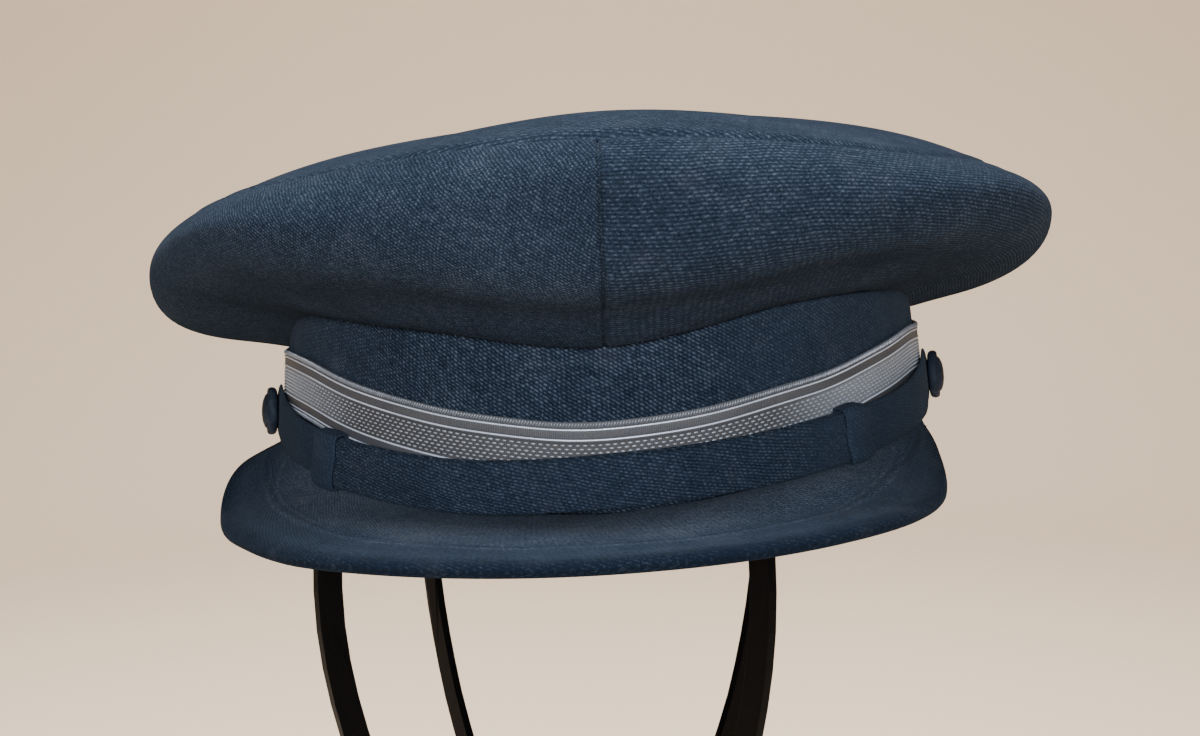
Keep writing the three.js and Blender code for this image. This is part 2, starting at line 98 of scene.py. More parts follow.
# The chin strap, its keepers and its buttons
STRAP_WIDTH = 11.6 * MM
STRAP_END_WIDTH = 14 * MM
STRAP_HEIGHT = 8.4 * MM
STRAP_THICKNESS = 1.3 * MM
KEEPER_ANGLE_LEFT = 43.5
KEEPER_ANGLE_RIGHT = 36.5
KEEPER_WIDTH = 8.5 * MM
KEEPER_WALL = 0.7 * MM
BUTTON_ANGLE = 74
BUTTON_RADIUS = 6.4 * MM
BUTTON_THICKNESS = 4 * MM
KEEPER_INSIDE = LACE_OUTSIDE + GAP + KEEPER_WALL
INNER_LAYER = KEEPER_INSIDE + GAP + STRAP_THICKNESS
OUTER_LAYER = INNER_LAYER + GAP + STRAP_THICKNESS
STRAP_AT_BUTTON = LACE_OUTSIDE + GAP + STRAP_THICKNESS
DEGREES_PER_METRE = math.degrees(1 / BAND_HALF_WIDTH)

# How the cap sits on its stand
CAP_TURN = 0.6
CAP_TILT = 9.7
CAP_ROLL = 1
CAP_SHIFT = 10.4 * MM
CAP_FORWARD = 2.5 * MM

# Angle, reach, widest, lift, fullness: how far each direction of the crown swells, and how high
CROWN_LOBES = (
    (0, 0.72, 0.76, 56, 0.5),
    (45, 0.92, 0.77, 42, 0.33),
    (90, 0.98, 0.54, 15, 0.38),
    (135, 0.945, 0.51, 1.6, 0.42),
    (180, 0.8, 0.48, 14, 0.4),
    (225, 0.935, 0.41, -2.8, 0.42),
    (270, 0.93, 0.41, 11, 0.34),
    (315, 0.91, 0.755, 38, 0.3),
)

# Angle, seam, rim, roll: where the crown's sides meet its top, and the slope there
CROWN_RIM = (
    (0, 0.46, 0.987, 15),
    (45, 0.55, 0.868, 19),
    (90, 0.57, 0.72, 31),
    (135, 0.46, 0.746, 21),
    (180, 0.5, 0.675, 22),
    (225, 0.48, 0.613, 22),
    (270, 0.5, 0.68, 28.6),
    (315, 0.456, 0.855, 12),
)

# Angle, height of the band's top edge
BAND_TOP = (
    (0, 0.93), (28, 1.08), (60, 0.92), (90, 0.6), (135, 0.66), (180, 0.7),
    (225, 0.62), (255, 0.54), (270, 0.49), (300, 0.91), (332, 1.013),
)

# Angle, height of the lace's lower edge
LACE_LINE = (
    (0, 0.55), (30, 1), (60, 1.2), (90, 0.55), (120, 0.45),
    (180, 0.5), (240, 0.4), (270, 0.45), (300, 1.15), (330, 0.88),
)

# Angle, height of the strap's middle
STRAP_LINE = ((-75, 0.85), (-45, 0.8), (-20, 0.77), (0, 1), (20, 1.15), (45, 1.26), (75, 1.18))

# Angle, reach, level: the peak's edge
VISOR_EDGE = (
    (-75, 0, 0), (-66, 0.34, -0.35), (-54, 0.585, -1.1), (-40, 0.76, -0.5), (-20, 1, 0.56), (0, 1.03, 0.9),
    (20, 0.9, 0.7), (40, 0.565, -0.1), (54, 0.24, -0.5), (66, 0.02, -0.3), (75, 0, 0),
)

# Position across a button and height, in shares of its radius and thickness
BUTTON_PROFILE = (
    (0, 0), (0.8, 0), (0.93, 0.08), (0.99, 0.22), (1, 0.4), (0.97, 0.56), (0.9, 0.64),
    (0.82, 0.6), (0.77, 0.62), (0.66, 0.8), (0.45, 0.93), (0.22, 0.99), (0, 1),
)

# How each piece's serge differs from the plain one; calm and plain hold places along x
SERGES = {
    "crown_serge": {"contrast": 0.62, "lightness": 0.92, "fuzzy": 1.35},
    "crown_serge_left": {
        "contrast": 0.7, "lightness": 0.9, "dash": 0.5, "stir": 1.3, "fuzzy": 1.35, "pitch": 0.78,
    },
    "band_serge": {
        "contrast": 0.9, "lightness": 0.92, "dash": 0.8, "stir": 0.3, "fuzzy": 1.3, "pitch": 0.92,
        "calm": (-40 * MM, 25 * MM), "plain": ((-75 * MM, -20 * MM), (25 * MM, 55 * MM), 0.6),
    },
    "strap_serge": {
        "contrast": 0.6, "lightness": 0.88, "dash": 0.75, "stir": 0.5, "fuzzy": 1.2, "pitch": 0.88,
        "calm": (-60 * MM, 20 * MM), "plain": ((-66 * MM, -50 * MM), (50 * MM, 62 * MM), 0.8),
    },
    "keeper_serge": {"contrast": 0.25, "relief": 0.6, "fuzzy": 0.8},
    # The peak's serge is lighter than the rest to stand in for the light that the crown's overhang keeps off it:
    # painted light.
    "visor_serge": {"contrast": 0.3, "relief": 0.6, "lightness": 1.45, "fuzzy": 1.2},
    "stitch_thread": {"contrast": 0.2, "relief": 0.3, "lightness": 1.7, "fuzzy": 0.5},
}

# The cloth's direction on each piece, in degrees
BAND_TWILL = 31
TOP_TWILL = 8
VISOR_TWILL = 24
KEEPER_TWILL = 40

# Sizes of the raised threads
DASH_SHAPE = {"Length": 1.05 * MM, "Width": 0.38 * MM, "Height": 0.4 * MM, "Rings": 4, "Seed": 3}
BRAID_SHAPE = {
    "Length": 1.25 * MM, "Width": 0.5 * MM, "Height": 0.75 * MM, "Slant": math.radians(62), "Rings": 5, "Seed": 11,
}
DASH_ROWS = 7
DASH_FIRST_ROW = 4.95 * MM
DASH_ROW_STEP = 0.85 * MM

# Name, place, what it is turned to, size, share of the main light's power, colour, spread
LIGHTS = (
    ("key_light", (-0.07, -0.24, 1.5), (0, 0, 0.26), (0.9, 0.7), 1.05, (1, 0.985, 0.96), 120),
    ("front_light", (-0.02, -1.5, 0.48), (0, 0, 0.24), (0.5, 0.35), 0.35, (0.98, 0.985, 1), 80),
    ("backdrop_light", (0, 0.75, 1.7), (0, 1.9, 0.75), (1.8, 0.4), 0.55, (1, 0.98, 0.945), 150),
)

# The camera: where it stands, how far it looks down, how it leans, and its lens
EYE = (9.7 * MM, -412 * MM, 290 * MM)
LOOK_DOWN = 4.1
LEAN = -1.3
LENS = 42.9


def through(rows, joined=False):
    """A smooth curve through a table's rows, as a function of the first column."""
    table = np.array(rows, float)
    if joined:
        table = np.vstack([table[-1], table, table[0], table[1]])
        table[0, 0] -= 360
        table[-2:, 0] += 360
    at, values = table[:, 0], table[:, 1:]
    last = len(at) - 2

    def curve(x):
        x = np.asarray(x, float)
        i = np.clip(np.searchsorted(at, x, side="right") - 1, 0, last)
        before = np.where(i > 0, i - 1, i + 1)
        after = np.where(i < last, i + 2, i)
        start, end = at[i], at[i + 1]
        span = end - start
        left = np.where(i > 0, 0.5 * span / np.maximum(start - at[i - 1], 1e-9), 0.5)
        right = np.where(i < last, 0.5 * span / np.maximum(at[after] - end, 1e-9), 0.5)
        p = (x - start) / span
        p2, p3 = p * p, p * p * p
        weights = (
            (before, -left * p3 + 2 * left * p2 - left * p),
            (i, (1 + left) * p3 + (-1.5 - 2 * left) * p2 + (-0.5 + left) * p + 1),
            (i + 1, (-1 - right) * p3 + (1.5 + right) * p2 + 0.5 * p),
            (after, right * p3 - right * p2),
        )
        found = sum(weight[..., None] * values[row] for row, weight in weights)
        return np.moveaxis(found, -1, 0)

    return curve


lobe_at = through(CROWN_LOBES, joined=True)
rim_at = through(CROWN_RIM, joined=True)
band_top_at = through(BAND_TOP, joined=True)
lace_at = through(LACE_LINE, joined=True)
strap_at = through(STRAP_LINE)
visor_at = through(VISOR_EDGE)


def band_radius(angle, height=0.0):
    """Outside of the band, which narrows upward."""
    turn = np.radians(angle)
    round_head = 1 / np.hypot(np.sin(turn) / BAND_HALF_WIDTH, np.cos(turn) / BAND_HALF_LENGTH)
    return round_head - BAND_SLOPE * height


def band_top(angle):
    return BAND_FRONT_HEIGHT * band_top_at(np.mod(angle, 360))[0]


def lace_low(angle):
    return LACE_HEIGHT * lace_at(np.mod(angle, 360))[0]


def strap_middle(angle):
    return STRAP_HEIGHT * strap_at(np.clip(angle, -75, 75))[0]


def polar(angle, radius, height):
    """Points from their direction, distance from the cap's axis and height."""
    turn = np.radians(angle)
    angle, radius, height = np.broadcast_arrays(turn, radius, height)
    return np.stack([radius * np.sin(angle), -radius * np.cos(angle), height], axis=-1)


def bump(distance, width):
    """1 at distance 0, falling smoothly to nothing a few widths away."""
    return np.exp(-((np.asarray(distance) / width) ** 2))


def ease(x, start, end):
    share = np.clip((np.asarray(x, float) - start) / (end - start), 0, 1)
    return share * share * (3 - 2 * share)


def cubic(a, b, c, d, t):
    t = t[..., None]
    return a * (1 - t) ** 3 + 3 * b * t * (1 - t) ** 2 + 3 * c * t * t * (1 - t) + d * t**3


def crown_profile(angle):
    """Where the cloth leaves the band, is widest and meets the top, as (out, up) pairs."""
    turned = np.mod(angle, 360)
    reach, widest, lift, fullness = lobe_at(turned)
    seam, rim, roll = rim_at(turned)
    top = band_top(angle)
    edge = band_radius(angle, top)
    lift, roll = np.radians(lift), np.radians(roll)
    return {
        "start": np.stack([edge - BAND_WALL * 0.35, top - 0.9 * MM], -1),
        "widest": np.stack([edge + CROWN_OVERHANG * reach, CROWN_HEIGHT * widest], -1),
        "seam": np.stack([edge + CROWN_OVERHANG * seam, CROWN_HEIGHT * rim], -1),
        "lift": np.stack([np.cos(lift), np.sin(lift)], -1),
        "inward": np.stack([-np.cos(roll), np.sin(roll)], -1),
        "slope": np.tan(roll),
        "fullness": fullness,
    }


def quarter_surface(angle, along):
    """The side of the crown, from the band at 0 to the seam with the top at 1."""
    p = crown_profile(angle)
    up = np.array([0.0, 1.0])
    lower = (np.linalg.norm(p["widest"] - p["start"], axis=-1) * p["fullness"])[..., None]
    upper = (np.linalg.norm(p["seam"] - p["widest"], axis=-1) * p["fullness"])[..., None]
    t = np.clip(along * 2, 0, 1)
    under = cubic(p["start"], p["start"] + p["lift"] * lower, p["widest"] - up * lower, p["widest"], t)
    t = np.clip(along * 2 - 1, 0, 1)
    over = cubic(p["widest"], p["widest"] + up * upper, p["seam"] - p["inward"] * upper, p["seam"], t)
    point = np.where((along < 0.5)[..., None], under, over)
    return polar(angle, point[..., 0], point[..., 1])


def top_surface(angle, share):
    """The top of the crown, from its middle at 0 to the seam at 1."""
    p = crown_profile(angle)
    square = share * share
    out, up = p["seam"][..., 0], p["seam"][..., 1]
    fall = up - CROWN_CENTRE_HEIGHT
    pillow = (out * p["slope"] + 2 * fall) / 2
    height = CROWN_CENTRE_HEIGHT + fall * square + pillow * square * (1 - square)
    return polar(angle, out * share, height)


def band_surface(angle, height, out=0.0):
    return polar(angle, band_radius(angle, height) + out, height)


def visor_surface(angle, share):
    """The top of the peak, from its edge at 0 to its root under the band at 1."""
    reach, level = visor_at(angle)
    root = band_radius(angle) - BAND_WALL
    length = BAND_WALL + VISOR_LENGTH * np.maximum(reach, 0)
    rise = np.where(level > 0, VISOR_RISE, VISOR_DROP) * level
    out = 1 - share
    clear = np.maximum(0, (out * length - BAND_WALL) / np.maximum(length - BAND_WALL, MM))
    climbs = ROOT_CLIMB * ease(angle, -14, 32) * (1 - ease(angle, 62, 72))
    climbs = climbs * ease(out * length, BAND_WALL - MM, BAND_WALL + MM)
    climbs = climbs * (1 - ease(out * length, 7 * MM, 26 * MM))
    return polar(angle, root + length * out, rise * clear + climbs - GAP)


def cap_matrix():
    """Where the cap sits: its band's lowest point is that of the frame's band."""
    turned = (
        Matrix.Rotation(math.radians(CAP_TURN), 4, "Z")
        @ Matrix.Rotation(math.radians(CAP_TILT), 4, "X")
        @ Matrix.Rotation(math.radians(-CAP_ROLL), 4, "Y")
    )
    ring = polar(np.arange(0, 360, 5.0), band_radius(np.arange(0, 360, 5.0)), 0.0)
    lowest = min((turned @ Vector(point)).z for point in ring)
    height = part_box("band")[0][2] - lowest
    return Matrix.Translation((CAP_SHIFT, -CAP_FORWARD, height)) @ turned


CAP = cap_matrix()


def on_stand(points):
    """Points of the cap's frame as the cap sits on its stand."""
    matrix = np.array(CAP)
    return points @ matrix[:3, :3].T + matrix[:3, 3]


def grid_normals(points, joined=False):
    """The way out of each point of a grid whose columns go round and whose rows go up."""
    if joined:
        wide = np.concatenate([points[-1:], points, points[:1]])
        along = (wide[2:] - wide[:-2]) / 2
    else:
        along = np.gradient(points, axis=0)
    up = np.gradient(points, axis=1)
    normals = np.cross(along, up)
    length = np.linalg.norm(normals, axis=-1, keepdims=True)
    return normals / np.maximum(length, 1e-12)


def lengths(points, axis):
    """Distance travelled along an axis of a grid, from its first line."""
    step = np.linalg.norm(np.diff(points, axis=axis), axis=-1)
    start = np.zeros_like(np.take(step, [0], axis=axis))
    return np.concatenate([start, np.cumsum(step, axis=axis)], axis=axis)


def grid(columns, rows):
    return np.broadcast_arrays(columns[:, None], rows[None, :])


def raised(surface, out, joined=False):
    """A surface whose points are moved out by their own amounts."""
    return surface + grid_normals(surface, joined) * out[..., None]


def turned_weave(u, v, degrees):
    """The cloth's own directions, turned on the piece by so many degrees."""
    c, s = math.cos(math.radians(degrees)), math.sin(math.radians(degrees))
    return np.stack([u * c - v * s, u * s + v * c], -1)


def add_object(name, mesh, materials):
    piece = bpy.data.objects.new(name, mesh)
    bpy.context.scene.collection.objects.link(piece)
    for material in materials:
        mesh.materials.append(material)
    return piece


def shell(name, rings, weave, material, joined=False):
    """One closed body from rings of points. Each ring is a closed outline whose second half runs
    back along its first, and weave holds the cloth's own coordinates of the points."""
    columns, count = rings.shape[:2]
    vertices = on_stand(rings).reshape(-1, 3)
    corners = []
    for i in range(columns if joined else columns - 1):
        for j in range(count):
            corners.append(((i, j), (i + 1, j), (i + 1, j + 1), (i, j + 1)))
    if not joined:
        for j in range(count // 2 - 1):
            ladder = (j, j + 1, count - 2 - j, count - 1 - j)
            corners.append(tuple((0, k) for k in ladder[::-1]))
            corners.append(tuple((columns - 1, k) for k in ladder))
    index = np.array(corners)
    faces = index[..., 0] % columns * count + index[..., 1] % count
    mesh = bpy.data.meshes.new(name)
    mesh.from_pydata(vertices.tolist(), [], faces.tolist())
    if joined and weave.shape[0] == columns:
        weave = np.concatenate([weave, weave[:1]])
    weave = np.concatenate([weave, weave[:, :1]], axis=1)
    layer = mesh.uv_layers.new(name="weave")
    layer.data.foreach_set("uv", weave[index[..., 0], index[..., 1]].astype(np.float32).ravel())
    a, b, c, d = (vertices[faces[:, k]] for k in range(4))
    if (a * (np.cross(b, c) + np.cross(c, d))).sum() < 0:
        mesh.flip_normals()
    mesh.shade_smooth()
    mesh.validate()
    return add_object(name, mesh, [material])


def walled_weave(weave):
    return np.concatenate([weave, weave[:, ::-1]], axis=1)


def cloth_shell(name, outer, thickness, weave, material, joined=False):
    """A cloth wall: along the outside, then back along the inside."""
    inner = outer - grid_normals(outer, joined) * thickness
    rings = np.concatenate([outer, inner[:, ::-1]], axis=1)
    return shell(name, rings, walled_weave(weave), material, joined)


def finish_piece(piece, slot, *nodes):
    """The piece rides on the one body and stands for its nodes, which it hides. slot is not used."""
    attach(piece, "root")
    if nodes:
        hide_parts(*nodes)
    return piece


# The colour sockets of a mix node
MIX_SHARE, MIX_FIRST, MIX_SECOND, MIX_RESULT = 0, 6, 7, 2


class Value:
    """A number that varies over a surface, used with ordinary arithmetic."""

    def __init__(self, finish, socket):
        self.finish, self.socket = finish, socket

    def math(self, operation, *others):
        return self.finish.node("ShaderNodeMath", {"operation": operation}, (self,) + others)

    def __add__(self, other):
        return self.math("ADD", other)

    __radd__ = __add__

    def __mul__(self, other):
        return self.math("MULTIPLY", other)

    __rmul__ = __mul__

    def __sub__(self, other):
        return self.math("SUBTRACT", other)

    def __rsub__(self, other):
        return (self * -1) + other

    def __truediv__(self, other):
        return self.math("DIVIDE", other)

    def floor(self):
        return self.math("FLOOR")

    def wave(self):
        """0 to 1 and back over each whole step."""
        return (self * (2 * math.pi)).math("COSINE") * -0.5 + 0.5

    def rise(self, start, end):
        """0 below start and 1 above end, smooth between them."""
        sockets = {"Value": self, "From Min": start, "From Max": end}
        return self.finish.node("ShaderNodeMapRange", {"interpolation_type": "SMOOTHSTEP"}, sockets)

    def near(self, middle, width):
        """1 at the middle, 0 further off than the width."""
        return 1 - (self - middle).math("ABSOLUTE").rise(0.0, width)

    def clamped(self):
        return self.math("MINIMUM", 1.0).math("MAXIMUM", 0.0)


class Finish:
    """A material and the nodes that make it."""

    def __init__(self, name):
        self.material = bpy.data.materials.new(name)
        self.material.use_nodes = True
        self.tree = self.material.node_tree
        self.tree.nodes.clear()

    def node(self, kind, settings=(), sockets=(), output=0):
        """A node of a kind, with its settings and the values or links of its sockets."""
        node = self.tree.nodes.new(kind)
        for name, setting in dict(settings).items():
            setattr(node, name, setting)
        pairs = sockets.items() if isinstance(sockets, dict) else enumerate(sockets)
        for key, value in pairs:
            if isinstance(value, Value):
                self.tree.links.new(value.socket, node.inputs[key])
            else:
                node.inputs[key].default_value = value
        return Value(self, node.outputs[output]) if len(node.outputs) else node

    def split(self, vector):
        first = self.node("ShaderNodeSeparateXYZ", (), {"Vector": vector})
        return [Value(self, output) for output in first.socket.node.outputs]

    def weave(self):
        """The cloth's own coordinates, in metres."""
        return self.node("ShaderNodeUVMap", {"uv_map": "weave"})

    def place(self):
        """Where a point is on the object, in metres."""
        return self.node("ShaderNodeTexCoord", output="Object")

    def noise(self, vector, size, detail=2.0, roughness=0.5):
        """Soft noise from 0 to 1 whose patches are about so many metres across."""
        sockets = {"Vector": vector, "Scale": 1 / size, "Detail": detail, "Roughness": roughness}
        return self.node("ShaderNodeTexNoise", {"noise_dimensions": "3D"}, sockets)

    def cell(self, first, second):
        """A number from 0 to 1 that differs from one thread to the next."""
        pair = self.node("ShaderNodeCombineXYZ", (), {"X": first, "Y": second})
        return self.node("ShaderNodeTexWhiteNoise", {"noise_dimensions": "2D"}, {"Vector": pair})

    def mix(self, share, first, second):
        """A colour between two others, which are linked or (red, green, blue)."""
        first, second = (c if isinstance(c, Value) else (*c, 1) for c in (first, second))
        settings = {"data_type": "RGBA", "clamp_factor": True}
        sockets = {MIX_SHARE: share, MIX_FIRST: first, MIX_SECOND: second}
        return self.node("ShaderNodeMix", settings, sockets, output=MIX_RESULT)

    def relief(self, height, depth, strength):
        return self.node("ShaderNodeBump", (), {"Height": height, "Distance": depth, "Strength": strength})

    def surface(self, **sockets):
        """The shader and the material's output."""
        named = {name.replace("_", " "): value for name, value in sockets.items()}
        shader = self.node("ShaderNodeBsdfPrincipled", (), named)
        self.node("ShaderNodeOutputMaterial", (), {"Surface": shader})
        return self.material


def settings():
    return bpy.context.scene.peaked_cap


def wool(name, worn=()):
    """Dark blue-grey serge: rows of short raised threads, more or less even, with a soft nap. Left of
    calm its rows are ruffled, outside plain its threads fade, and worn lists the peak's worn lines; with worn, the
    peak's edge also gets painted shade and its inner part painted light."""
    look = {"contrast": 1, "relief": 1, "lightness": 1, "dash": 1, "stir": 0.35, "fuzzy": 1, "pitch": 1}
    look.update(SERGES[name])
    contrast, lightness, stir = look["contrast"], look["lightness"], look["stir"]
    sizes = settings()
    finish = Finish(name)
    u, v, _ = finish.split(finish.weave())
    place = finish.place()
    across, _, _ = finish.split(place)
    ruffle = finish.noise(place, 2.2 * MM, 1.0) - 0.5
    stray = finish.noise(place, 12 * MM, 1.0) - 0.5
    if "calm" in look:
        stir = stir + (1 - across.rise(*look["calm"])) * 1.3
    rows = v / (sizes.twill_pitch * look["pitch"]) + ruffle * stir + stray * 1.6
    steps = u / (sizes.thread_length * look["dash"]) + rows.floor() * 0.38 + ruffle * 0.6
    thread = rows.wave() * (0.4 + steps.wave() * 0.6)
    lot = finish.cell(steps.floor(), rows.floor())
    fuzz = finish.noise(place, 0.44 * MM, 2.0, 0.65)
    cloud = finish.noise(place, 34 * MM, 3.0, 0.55)
    patches = finish.noise(place, 11 * MM, 2.0, 0.5)
    tone = (thread - 0.35) * (0.62 * contrast) + (lot - 0.5) * (0.26 * contrast)
    if "plain" in look:
        left, right, share = look["plain"]
        smooth = across.rise(*right) + 1 - across.rise(*left)
        tone = tone * (1 - smooth.clamped() * share)
    tone = tone + (fuzz - 0.5) * (0.75 * look["fuzzy"]) + 0.42
    tone = tone + (cloud - 0.5) * 0.24 + (patches - 0.5) * 0.16
    tints = (sizes.wool_dark, sizes.wool_mid, sizes.wool_light)
    shade = [tuple(c * lightness for c in tint) for tint in tints]
    if worn:
        shade = [(r * 1.04, g, b * 0.95) for r, g, b in shade]
        twill = math.radians(VISOR_TWILL)
        inset = v * math.cos(twill) - u * math.sin(twill)
        fleck = finish.noise(place, 1.1 * MM, 2.0, 0.6)
        for line, width, strength in worn:
            tone = tone + inset.near(line, width) * (fleck - 0.28) * strength
        # Painted shade: the peak's cloth is darker over its outer 8 mm, where the rounded edge turns down away
        # from the light.
        tone = tone - (1 - inset.rise(0.5 * MM, 8 * MM)) * 0.3
        # Painted light and shade: lighter towards the root, where the strap and crown shade the peak, and darker
        # towards its edge.
        tone = tone + (inset.rise(8 * MM, 26 * MM) - 0.5) * 0.26
    colour = finish.mix((tone * 2).clamped(), shade[0], shade[1])
    colour = finish.mix((tone * 2 - 1).clamped(), colour, shade[2])
    warm = tuple(c * lightness for c in (0.029, 0.028, 0.032))
    colour = finish.mix(patches.rise(0.55, 0.8) * 0.1, colour, warm)
    normal = finish.relief(thread * 0.8 + fuzz * 0.45, sizes.weave_depth * look["relief"], 1)
    return finish.surface(
        Base_Color=colour,
        Roughness=0.9,
        Normal=normal,
        Specular_IOR_Level=0.0,
        Sheen_Weight=0.016,
        Sheen_Roughness=0.55,
        Sheen_Tint=(0.55, 0.66, 0.8, 1),
    )


def lace_ground():
    """The woven strip under the dashes: a dark ground between two grey ribbed stripes."""
    sizes = settings()
    finish = Finish("lace_ground")
    u, v, _ = finish.split(finish.weave())
    place = finish.place()
    along, _, _ = finish.split(place)
    middle = v.rise(4.1 * MM, 4.5 * MM) * (1 - v.rise(10.5 * MM, 10.9 * MM))
    ribs = (u / (0.42 * MM)).wave()
    cross = (v / (0.5 * MM)).wave()
    grit = finish.noise(place, 0.5 * MM, 2.0)
    age = finish.noise(place, 14 * MM, 3.0)
    stripe = ribs * 0.25 + grit * 0.5 + (age - 0.5) * 0.5
    stripe = finish.mix(stripe, sizes.lace_grey_dark, sizes.lace_grey)
    ground = finish.mix(grit * 0.6 + cross * 0.3, (0.006, 0.0068, 0.009), (0.028, 0.031, 0.037))
    edges = v.near(0, 1.35 * MM) + v.near(LACE_WIDTH, 1.35 * MM)
    colour = finish.mix(middle, stripe, ground)
    colour = finish.mix(edges.clamped() * 0.85, colour, (0.035, 0.039, 0.047))
    # Painted sheen: towards both sides of the cap, where the lace is seen edge-on, its middle goes silver-grey.
    painted_side_sheen = along.math("ABSOLUTE").rise(46 * MM, 70 * MM) * middle * (0.35 + grit * 0.6)
    colour = finish.mix(painted_side_sheen.clamped(), colour, (0.12, 0.14, 0.165))
    return finish.surface(
        Base_Color=colour,
        Roughness=0.62,
        Metallic=0.1,
        Normal=finish.relief(ribs * 0.5 + grit * 0.5, 0.12 * MM, 0.8),
        Specular_IOR_Level=0.4,
    )


def lace_thread(name, light):
    """Silver-grey yarn, nearly white where it catches the light."""
    finish = Finish(name)
    place = finish.place()
    grit = finish.noise(place, 0.35 * MM)
    age = finish.noise(place, 12 * MM)
    dull, bright = (tuple(c * light * share for c in settings().lace_silver) for share in (0.45, 1))
    colour = finish.mix((grit * 0.8 + age * 0.7 - 0.1).clamped(), dull, bright)
    return finish.surface(
        Base_Color=colour,
        Roughness=0.42,
        Metallic=0.35,
        Normal=finish.relief(grit, 0.08 * MM, 0.6),
        Specular_IOR_Level=0.6,
    )


def dark_enamel():
    """The buttons: dark blue-grey with a worn satin face."""
    finish = Finish("button_enamel")
    place = finish.place()
    grit = finish.noise(place, 0.8 * MM, 3.0)
    wear = finish.noise(place, 3.2 * MM, 3.0, 0.6)
    colour = finish.mix(wear.rise(0.45, 0.75), (0.004, 0.0065, 0.012), (0.012, 0.017, 0.026))
    return finish.surface(
        Base_Color=colour,
        Roughness=0.62 + grit * 0.2,
        Specular_IOR_Level=0.08,
        Normal=finish.relief(grit, 0.06 * MM, 0.5),
    )


def stand_plastic():
    """Black moulded plastic with a faint grain and scuffs."""
    finish = Finish("stand_plastic")
    place = finish.place()
    grain = finish.noise(place, 0.9 * MM, 3.0)
    tall = finish.node("ShaderNodeMapping", (), {"Vector": place, "Scale": (1, 1, 0.18)})
    scuff = finish.noise(tall, 5 * MM, 4.0, 0.65)
    colour = finish.mix(scuff.rise(0.6, 0.85) * 0.4, (0.0012, 0.0012, 0.0014), (0.006, 0.006, 0.0065))
    return finish.surface(
        Base_Color=colour,
        Roughness=0.24 + scuff * 0.2,
        Specular_IOR_Level=0.03,
        Normal=finish.relief(grain, 0.06 * MM, 0.4),
    )


def pale_floor():
    """The plain warm pale floor and backdrop."""
    finish = Finish("pale_floor")
    place = finish.place()
    cloud = finish.noise(place, 0.5, 2.0)
    tint = settings().floor_colour
    colour = finish.mix(cloud, tuple(c * 0.97 for c in tint), tint)
    return finish.surface(Base_Color=colour, Roughness=0.85, Specular_IOR_Level=0.2)


def repeat_tree():
    """Lays small rounded threads along lines that lie on a surface."""
    tree = bpy.data.node_groups.new("threads_along_rows", "GeometryNodeTree")
    tree.is_modifier = True
    face = tree.interface
    face.new_socket(name="Geometry", in_out="OUTPUT", socket_type="NodeSocketGeometry")
    face.new_socket(name="Rows", in_out="INPUT", socket_type="NodeSocketGeometry")
    for name, kind, default in (
        ("Count", "NodeSocketInt", 100),
        ("Length", "NodeSocketFloat", 1 * MM),
        ("Width", "NodeSocketFloat", 0.4 * MM),
        ("Height", "NodeSocketFloat", 0.2 * MM),
        ("Slant", "NodeSocketFloat", 0.0),
        ("Variation", "NodeSocketFloat", 0.14),
        ("Sides", "NodeSocketInt", 8),
        ("Rings", "NodeSocketInt", 4),
        ("Seed", "NodeSocketInt", 7),
        ("Material", "NodeSocketMaterial", None),
    ):
        socket = face.new_socket(name=name, in_out="INPUT", socket_type=kind)
        if default is not None:
            socket.default_value = default
    nodes, links = tree.nodes, tree.links

    def add(kind, inputs, output=0, **settings):
        node = nodes.new(kind)
        for key, value in settings.items():
            setattr(node, key, value)
        for key, value in inputs.items():
            if isinstance(value, bpy.types.NodeSocket):
                links.new(value, node.inputs[key])
            else:
                node.inputs[key].default_value = value
        return node.outputs[output]

    given = nodes.new("NodeGroupInput").outputs
    align = "FunctionNodeAlignRotationToVector"
    curve = add("GeometryNodeMeshToCurve", {"Mesh": given["Rows"]})
    spread = add("GeometryNodeResampleCurve", {"Curve": curve, "Count": given["Count"]})
    ball = {"Segments": given["Sides"], "Rings": given["Rings"], "Radius": 0.5}
    grain = add("GeometryNodeMeshUVSphere", ball)
    lying = add("GeometryNodeTransform", {"Geometry": grain, "Rotation": (0, math.radians(90), 0)})
    size = {"X": given["Length"], "Y": given["Width"], "Z": given["Height"]}
    size = add("ShaderNodeCombineXYZ", size)
    sized = add("GeometryNodeTransform", {"Geometry": lying, "Scale": size})
    tangent = add("GeometryNodeInputTangent", {})
    outward = {"Name": "outward"}
    outward = add("GeometryNodeInputNamedAttribute", outward, "Attribute", data_type="FLOAT_VECTOR")
    ahead = add(align, {"Vector": tangent}, axis="X")
    stood = add(align, {"Rotation": ahead, "Vector": outward}, axis="Z", pivot_axis="X")
    slant = add("ShaderNodeCombineXYZ", {"Z": given["Slant"]})
    turn = add("FunctionNodeEulerToRotation", {0: slant})
    turn = {"Rotation": stood, "Rotate By": turn}
    slanted = add("FunctionNodeRotateRotation", turn, rotation_space="LOCAL")
    low = add("ShaderNodeMath", {0: 1.0, 1: given["Variation"]}, operation="SUBTRACT")
    high = add("ShaderNodeMath", {0: 1.0, 1: given["Variation"]}, operation="ADD")
    random = {2: low, 3: high, "Seed": given["Seed"]}
    random = add("FunctionNodeRandomValue", random, 1, data_type="FLOAT")
    placed = {"Points": spread, "Instance": sized, "Rotation": slanted, "Scale": random}
    placed = add("GeometryNodeInstanceOnPoints", placed)
    made = add("GeometryNodeRealizeInstances", {"Geometry": placed})
    smooth = add("GeometryNodeSetShadeSmooth", {"Geometry": made})
    coated = {"Geometry": smooth, "Material": given["Material"]}
    coated = add("GeometryNodeSetMaterial", coated)
    links.new(coated, nodes.new("NodeGroupOutput").inputs[0])
    return tree


